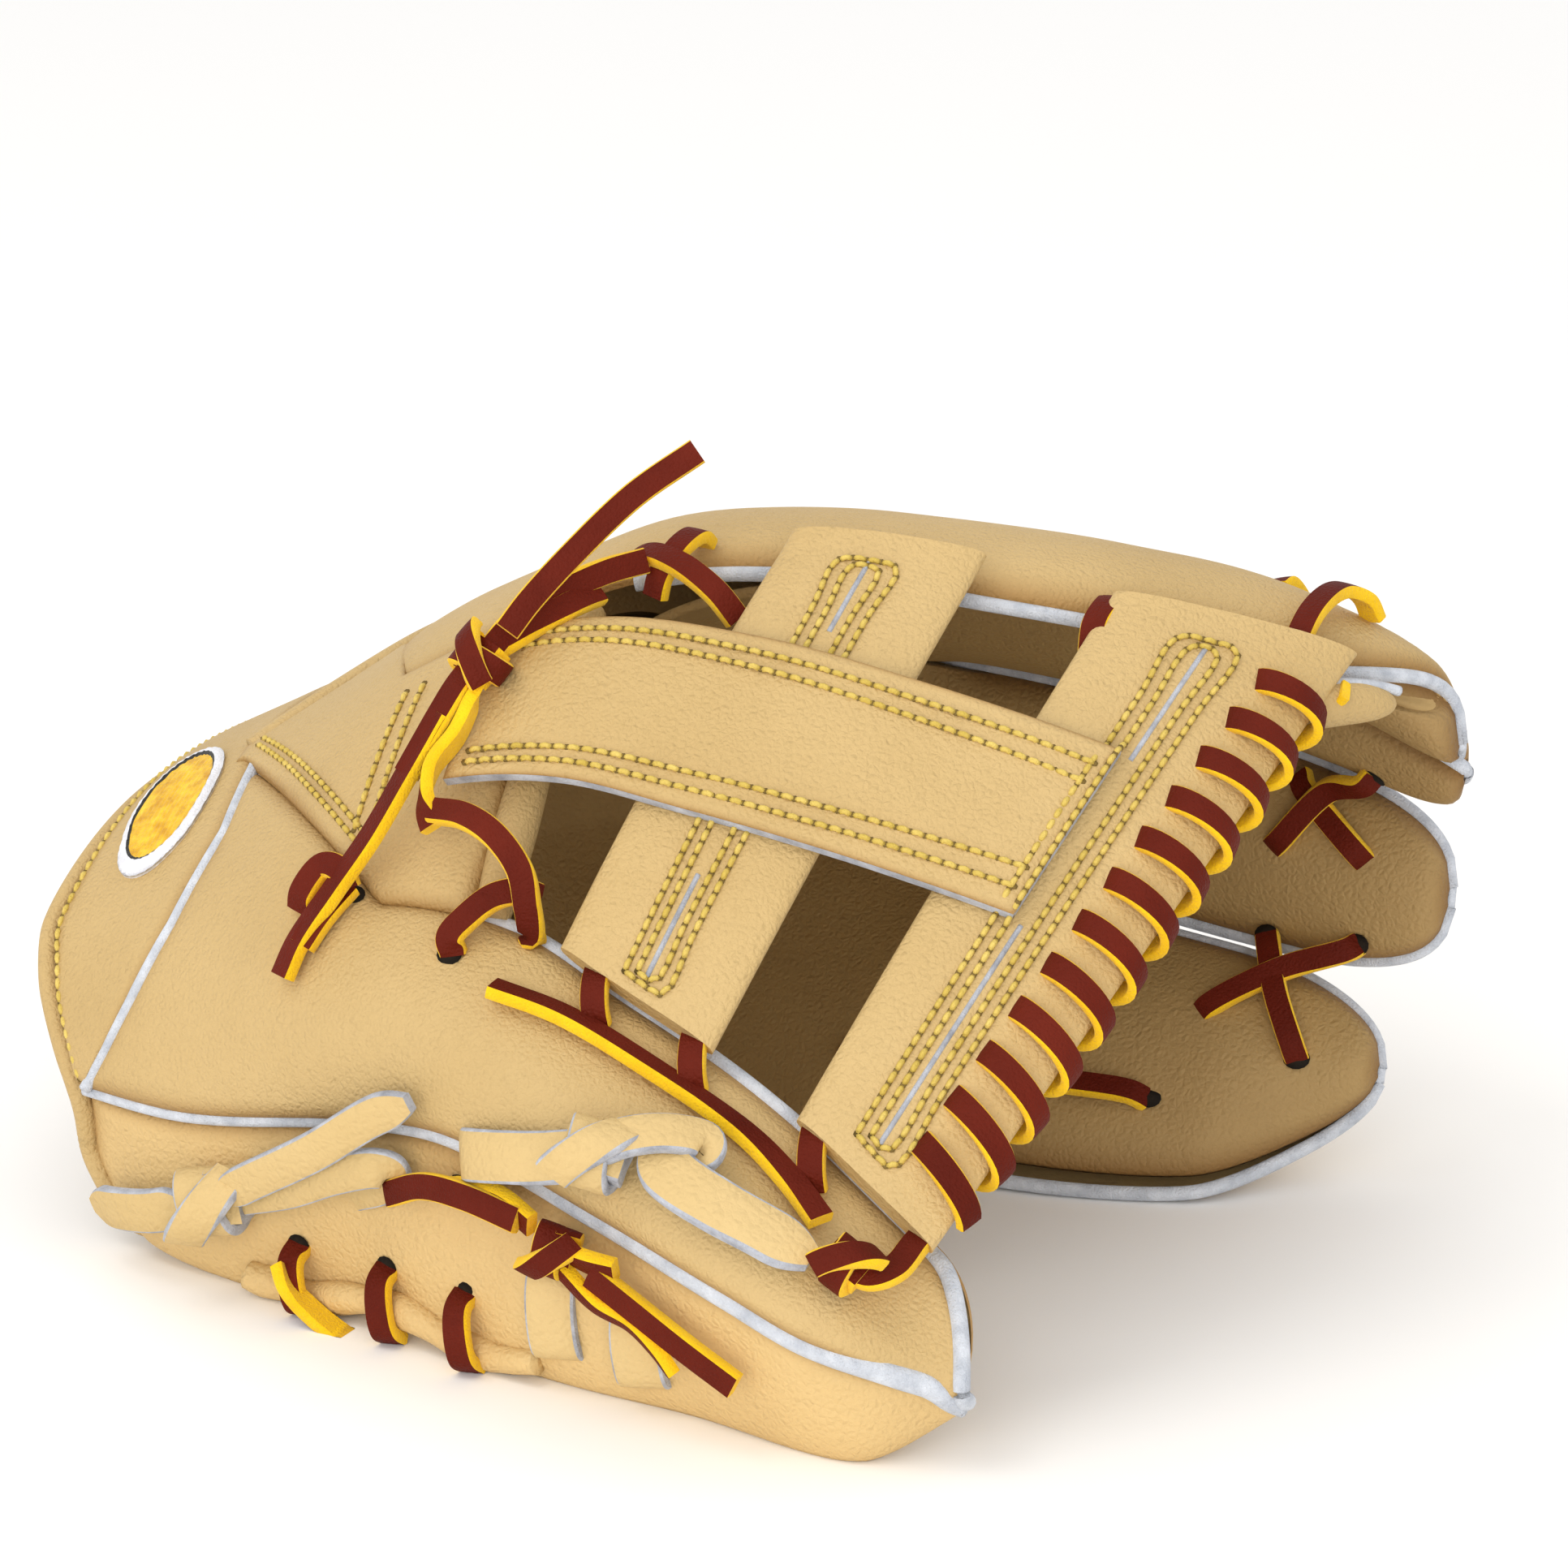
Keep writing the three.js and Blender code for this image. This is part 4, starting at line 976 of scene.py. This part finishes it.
def make_spiral():
    """Lace wound round the outer edge of the top bar."""
    t = np.linspace(0, 1, TURNS * 28)
    b = mix(0.05, 0.97, t)
    a = mix(0.95, 0.97, b) - 0.035
    forward = unit(web_point(a + 0.01, b) - web_point(a - 0.01, b))
    across = unit(web_point(a, b + 0.01) - web_point(a, b - 0.01))
    normal = -unit(np.cross(across, forward))
    turn = t * TURNS * 2 * np.pi
    middle = web_point(a, b, BAR_THICK / 2 + 0 * a)
    out = forward * (7.6 * np.cos(turn))[:, None] + normal * (5.2 * np.sin(turn))[:, None]
    mesh = strip_mesh(middle + out, out, LACE_WIDTH, LACE_THICK - 0.6)
    attach(laces("web_spiral_look", [mesh]), "web", "lace_leather", "web_spiral_lace")


# ---------- laces and knots ----------
def band_knot(centre, along, out, size, width=LACE_WIDTH, thick=LACE_THICK):
    """Overhand knot: a band round the strands, one laid across it, and the strands between them."""
    along = unit(np.array(along, float))
    out = unit(out - along * np.dot(out, along))
    side = np.cross(out, along)
    turn = np.linspace(-0.35 * np.pi, 2.1 * np.pi, 64)[:, None]
    slant = along * (np.linspace(-0.42, 0.42, 64) * width)[:, None]
    round_it = side * np.cos(turn) * size + out * np.sin(turn) * size * 0.82
    first = strip_mesh(centre + round_it + slant, round_it, width, thick)
    t = np.linspace(-1, 1, 32)[:, None]
    arch = out * (size * 0.95 + thick * 0.55) * np.sqrt(1 - 0.8 * t**2)
    across = centre + side * t * size * 1.12 + along * t * width * 0.75 + arch
    second = strip_mesh(across, out + side * t * 1.1, width * 0.92, thick)
    core = np.linspace(-0.75, 0.75, 10)[:, None] * along * width + centre
    inner = strip_mesh(core, np.broadcast_to(out, core.shape), size * 1.5, size * 1.1)
    return [first, second, inner]


def hole_shade(surface, x, s, h, size, long=1.3, sides=14):
    """Vertices, faces and kinds of a dark disc of painted shade where a lace goes into a punched hole."""
    spots = np.linspace(0, 2 * np.pi, sides, endpoint=False)
    here = surface(np.array([x]), np.array([s]), np.array([h]))[0]
    ahead = unit(surface(np.array([x + 1.0]), np.array([s]), np.array([h]))[0] - here)
    normal = unit(surface(np.array([x]), np.array([s]), np.array([h + 1.0]))[0] - here)
    across = np.cross(normal, ahead)
    rim = [here + ahead * np.cos(a) * size / 2 * long + across * np.sin(a) * size / 2 for a in spots]
    fan = [(i, (i + 1) % sides, sides) for i in range(sides)]
    return np.array(rim + [here + normal * 0.5]), fan + [tuple(range(sides - 1, -1, -1))], [0] * (sides + 1)


# dark discs of painted shade at the punched holes
def paint_hole_shades(name, holes, where):
    attach(joined(name, [hole_shade(*h) for h in holes], "painted_hole_shade"), where, "lace_leather")


def lace_piece(node, parts, where, tan=False, more=()):
    attach(laces(node + "_look", parts, tan), where, "thong_leather" if tan else "lace_leather", node, *more)


def on_each(surface, routes, **shape):
    return [strip_on(surface, route, **shape) for route in routes]


def make_crotch_laces():
    yellow = strip_on(web_point, [(-0.13, 0.58, 13), (-0.125, 0.5, 12.4), (-0.135, 0.4, 11),
                                  (-0.16, 0.3, 10.6),
                                  (-0.155, 0.2, 10), (-0.13, 0.13, 9.4)], twist=(20, 75, 80, 60, 20))
    round_roll = strip_on(web_point, [(-0.135, 0.17, 10.4), (-0.07, 0.155, 11.6), (-0.01, 0.125, 11),
                                      (0.045, 0.075, 8.6), (0.07, 0.02, 4.4), (0.08, -0.01, 0),
                                      (0.06, 0.0, -7)], twist=(0, 5, 25))
    behind = strip_on(web_point, [(-0.125, 0.64, 13), (-0.115, 0.73, 12), (-0.08, 0.82, 11),
                                  (-0.03, 0.9, 8.6),
                                  (0.01, 0.96, 5)], twist=(30, 60, 40))
    second = strip_on(web_point, [(-0.13, 0.66, 11.6), (-0.09, 0.74, 10), (-0.05, 0.8, 9), (-0.03, 0.86, 6)],
                      twist=(0, 25))
    lace_piece("crotch_lace", [yellow, round_roll, behind, second], "web")
    lace_piece("crotch_thumb_lace", on_each(
        on_back, [[(-22, 1.8, 0), (-22.4, 1.84, 3.2), (-20, 1.93, 5), (-15.5, 2.03, 7), (-11, 2.08, 6.4),
                   (-9, 2.1, 3)]], twist=(0, 10, 25)), "crotch")
    lace_piece("crotch_loop", on_each(
        on_back, [[(-57, 1.95, 1), (-56, 2.0, 4), (-52.5, 2.09, 6), (-48.5, 2.06, 6), (-47, 2.0, 3.4)],
                  [(-47.4, 2.02, 2.8), (-50.5, 1.88, 2.8), (-53, 1.76, 2.7)]]), "thumb_side")
    centre = web_point(-0.13, 0.61, 13)
    up = web_point(-0.13, 0.61, 14) - centre
    along = np.array(UPPER_TAIL[0]) - catmull(on_back(*np.array(LOWER_TAIL).T), 4)[0]
    start = on_back(*np.array(LOWER_TAIL[:2]).T)
    strand = strip_through([centre + up, mix(centre, start[0], 0.5) + up * 1.2, start[0], start[1]], up)
    lace_piece("crotch_knot", band_knot(centre, along, up, 4.4) + [strand], "web")
    paint_hole_shades("crotch_hole_shades", [(on_back, -22.6, 1.79, 0.3, 4.4, 1.2), (on_back, -47.0, 2.0, 0.5, 3.6)],
            "thumb_side")


def make_laces():
    make_crotch_laces()
    thumb_loops = [[(x - 1, 2.07, -1), (x - 1, 2.02, 3), (x, 1.95, 4.4), (x + 1, 1.885, 3.2),
                    (x + 1.4, 1.85, 0)]
                   for x in (6.8, 27, 51.8)]
    lace_piece("web_thumb_lace", on_each(on_back, thumb_loops), "thumb_side")
    crossed = [[(-12, 3.0, 2), (-8, 2.99, 5), (0, 2.93, 6), (8, 2.87, 4.4), (12, 2.84, 0)],
               [(0, 3.1, 1), (-0.5, 3.07, 4), (-2, 3.0, 5.4), (-4, 2.93, 3.4), (-5, 2.9, 0)]]
    small = [[(x, 3.05, 1), (x, 3.01, 4), (x - 1, 2.95, 4.4), (x - 1, 2.9, 1)] for x in (47, 78)]
    lace_piece("web_index_lace", on_each(on_back, crossed + small), "root")
    lace_piece("middle_ring_lace", on_each(
        on_front, [[(101.5, 5.08, -1.5), (103, 5.13, 1), (109, 5.26, 2), (115.5, 5.4, 1), (117, 5.44, -1.5)],
                   [(119, 4.5, -1.5), (117, 4.6, 1.4), (109, 5.0, 4), (99, 5.46, 1.4), (97, 5.52, -1.5)]]),
               "pinky")
    lace_piece("ring_pinky_lace", on_each(
        on_front, [[(97.2, 5.95, -1.5), (98.5, 6.02, 1), (102, 6.24, 3.2), (107, 6.47, 1),
                    (108.2, 6.53, -1.5)],
                   [(116.7, 5.86, -1.5), (115, 5.9, 1), (102, 6.12, 3.6), (89, 6.36, 1), (87, 6.39, -1.5)]]),
        "pinky_side")
    lace_piece("pinky_palm_lace", on_each(
        on_front, [[(14, 6.73, -1.5), (17, 6.73, 0.8), (38, 6.72, 1.4), (58, 6.72, 1.4), (77, 6.71, 0.8),
                    (80, 6.71, -1.5)]]), "pinky_side")
    paint_hole_shades("front_hole_shades", [(on_front, x, s, -0.7, 4.6, 1.2) for x, s in (
        (97.2, 5.95), (108.2, 6.53), (116.7, 5.86), (87, 6.39), (80.6, 6.71))], "pinky_side")
    paint_hole_shades("middle_hole_shades", [(on_front, 119, 4.5, -0.7, 4.6, 1.2)], "root")
    lace_piece("index_tip_lace", on_each(
        on_back, [[(111, 2.93, 1), (111.5, 3.0, 4.4), (113, 3.12, 5.4), (116, 3.24, 5.2), (119.5, 3.3, 3.4),
                   (121, 3.33, 0)],
                  [(100, 3.62, 1), (101, 3.66, 3.6), (103, 3.76, 4), (105, 3.86, 2)]]), "root")
    t = np.linspace(0, 1, 24)
    tab = on_back(mix(114, 129, t), mix(2.93, 3.02, t), 0 * t - 1)
    full = 4.6 * np.sqrt(np.maximum(1 - t**3, 0.01))
    attach(tube("index_tip_tab", tab, full, "shell_leather", sides=20), "root", "shell_leather")
    stripe = on_back(mix(117, 129.5, t), mix(2.96, 3.04, t), mix(3.6, 1.6, t**2) - 0.6)
    attach(tube("index_tip_stripe", stripe, 1.0, "welt", sides=8), "root", "welt")
    loops = [[(x - 1, 3.38, -0.5), (x - 1, 3.35, 3.6), (x, 3.27, 6.2), (x + 1, 3.16, 6.6),
              (x + 1.6, 3.06, 3.6)]
             for x in (-53.3, -32.2, -13.4)]
    tail = strip_on(on_wrap, [(-56, 3.34, 5.6), (-53, 3.26, 7.4), (-47, 3.14, 7.6), (-41, 3.05, 7.4)],
                    twist=(60, 85, 80))
    lace_piece("heel_lace", on_each(on_wrap, loops) + [tail], "thumb_side")
    paint_hole_shades("heel_hole_shades", [(on_wrap, x - 1, 3.39, 0.2, 4.6, 1.1) for x in (-53.3, -32.2, -13.4)],
            "thumb_side")
    lace_piece("tie_tail_low", on_each(
        on_wrap, [[(11, 3.78, 7), (18, 3.7, 7), (25, 3.68, 6.4), (30, 3.6, 6), (33, 3.5, 5.4)]], width=3.4,
        twist=(30, 50)), "thumb_side")
    knot = band_knot(on_wrap(9, 3.84, 6.4), (1, 0, -0.25), on_wrap(9, 3.84, 8) - on_wrap(9, 3.84, 6.4), 3.6)
    strands = on_each(on_wrap, [[(-15, 3.82, 0), (-12, 3.86, 3), (-4, 3.92, 4.6), (4, 3.9, 6)],
                                [(12, 3.88, 7), (17, 3.9, 7), (22, 3.92, 6)]], twist=(40, 20))
    lace_piece("tie_knot", knot + strands, "thumb_side")
    paint_hole_shades("tie_hole_shade", [(on_wrap, -15, 3.82, 0.2, 4.8, 1.1)], "thumb_side")
    centre = on_back(64.5, 1.57, 4.6)
    knot = band_knot(centre, (0.86, -0.1, -0.5), on_back(64.5, 1.57, 6) - centre, 3.6)
    over_edge = strip_on(on_back, [(66, 1.6, 5), (69, 1.68, 5.4), (72, 1.84, 5), (73.5, 1.96, 4.6),
                                   (74, 2.03, 1.5)],
                         twist=(10, 0))
    lace_piece("thumb_web_knot", knot + [over_edge], "thumb_side")


def make_thongs():
    def one(node, parts, more=()):
        lace_piece(node, parts, "thumb_side", True, more)
    tail = [on_wrap(-67, 3.68, 8), on_wrap(-60, 3.78, 9.4), on_back(-42, 0.93, 8.4), on_back(-30, 1.06, 6.6),
            on_back(-22, 1.13, 5)]
    facing = on_wrap(-50, 3.8, 6) - on_wrap(-50, 3.8, 3)
    loop = strip_on(on_wrap, [(-64, 3.66, 5), (-52, 3.74, 7), (-40, 3.84, 8), (-31, 3.88, 7),
                              (-28.5, 3.85, 4.6),
                              (-32, 3.77, 2.6), (-40, 3.7, 1)], THONG, THONG_THICK)
    one("heel_thong_front", [strip_through(np.array(tail), facing, THONG, THONG_THICK, 0.55), loop])
    one("heel_thong_back", [strip_on(on_wrap, [(-76, 3.58, 7), (-84, 3.5, 7.4), (-93, 3.4, 7),
                                               (-101, 3.28, 6)],
                                     THONG + 1, THONG_THICK, taper=0.6)])
    one("heel_thong_knot", band_knot(on_wrap(-70, 3.62, 5.6), (0.94, 0.06, 0.16),
                                     on_wrap(-70, 3.62, 8) - on_wrap(-70, 3.62, 5), 5.6, THONG + 1,
                                     THONG_THICK))
    first = strip_on(on_back, [(-12.5, 0.98, -1), (-10, 1.0, 2.6), (-3, 1.06, 4.4), (6, 1.15, 4.8),
                               (15, 1.25, 6)],
                     THONG + 2, THONG_THICK)
    bent = strip_on(on_back, [(18, 1.3, 7.4), (24, 1.4, 8.4), (31, 1.52, 8), (36, 1.6, 6.4), (36, 1.56, 4.6),
                              (31, 1.44, 4)], THONG, THONG_THICK)
    last = strip_on(on_back, [(27, 1.42, 5.6), (33, 1.35, 6), (42, 1.33, 5.6), (51, 1.36, 4.8),
                              (59, 1.41, 4)],
                    THONG + 2.5, THONG_THICK, taper=0.55)
    one("thumb_thong", [first, bent, last])
    centre = on_back(17.5, 1.28, 5.4)
    one("thumb_thong_knot", band_knot(centre, (0.95, 0.1, -0.2), on_back(17.5, 1.28, 7) - centre, 5.2,
                                      THONG, THONG_THICK))
    for i, x in enumerate((6, 24), 1):
        one(f"slot_thong_{i}", [strip_on(on_wrap, [(x - 0.6, 3.66, -0.6), (x - 0.4, 3.6, 1.6), (x, 3.45, 2.6),
                                                   (x + 0.8, 3.3, 2.2), (x + 1, 3.24, -0.6)], 9.5, 2.0)])


def make_seam_stitches():
    def add(name, surface, lines, lift, where, slot="shell_leather"):
        attach(stitches(name, [row_on(surface, line, lift) for line in lines]), where, slot)
    height = UNDER + LEATHER + 1.5
    crotch_lines = []
    for gap in (0.07, 0.125):
        crotch_lines.append([(x, float(thumb_top(x)) + gap) for x in np.linspace(-89, -48, 7)])
    for x in (-51.2, -47.6):
        crotch_lines.append([(x + 1.5 * (s - 2.3) ** 2, s) for s in (2.28, 2.4, 2.55, 2.7, 2.85)])
    add("crotch_panel_stitches", skin, crotch_lines, height, "crotch")
    wrist = [[(float(wrist_line(s)) + 1.8, s) for s in np.linspace(1.08, 6.0, 22)]]
    add("wrist_strap_stitches", skin, wrist, UNDER + LEATHER - 0.1, "strap")


# ---------- stage ----------
FLOOR_COLOUR = (0.97, 0.96, 0.945, 1)
LIGHT_COLOUR = (1.0, 0.97, 0.92)
STUDIO_LIGHTS = (("key", (-0.45, -0.55, 1.25), 0.7, 3.6),    # place and size in m, power in W
                 ("fill", (0.15, -1.2, 0.16), 1.4, 13.0))


def make_stage():
    bpy.ops.mesh.primitive_plane_add(size=30, location=(0, 0, 0))
    floor = bpy.context.object
    floor.name = "floor"
    material, _, shader = new_material("floor")
    shader.inputs["Base Color"].default_value = FLOOR_COLOUR
    shader.inputs["Roughness"].default_value = 0.8
    shader.inputs["Specular IOR Level"].default_value = 0.1
    floor.data.materials.append(material)
    world = bpy.data.worlds.new("studio")
    bpy.context.scene.world = world
    world.use_nodes = True
    world.node_tree.nodes["Background"].inputs["Color"].default_value = (1, 1, 1, 1)
    world.node_tree.nodes["Background"].inputs["Strength"].default_value = 1.0
    for name, place, size, power in STUDIO_LIGHTS:
        light = bpy.data.objects.new(name, bpy.data.lights.new(name, "AREA"))
        bpy.context.scene.collection.objects.link(light)
        light.data.size = size
        light.data.energy = power
        light.data.color = LIGHT_COLOUR
        light.location = place
        aim = Vector((0, 0, 0.06)) - light.location
        light.rotation_euler = aim.to_track_quat("-Z", "Y").to_euler()
    bpy.context.scene.view_settings.view_transform = "Standard"


make_camera()
make_cords()
make_fingers()
make_thumb()
make_palm()
make_wrist()
make_emblem()
make_inside()
make_web()
make_spiral()
make_laces()
make_thongs()
make_seam_stitches()
make_stage()
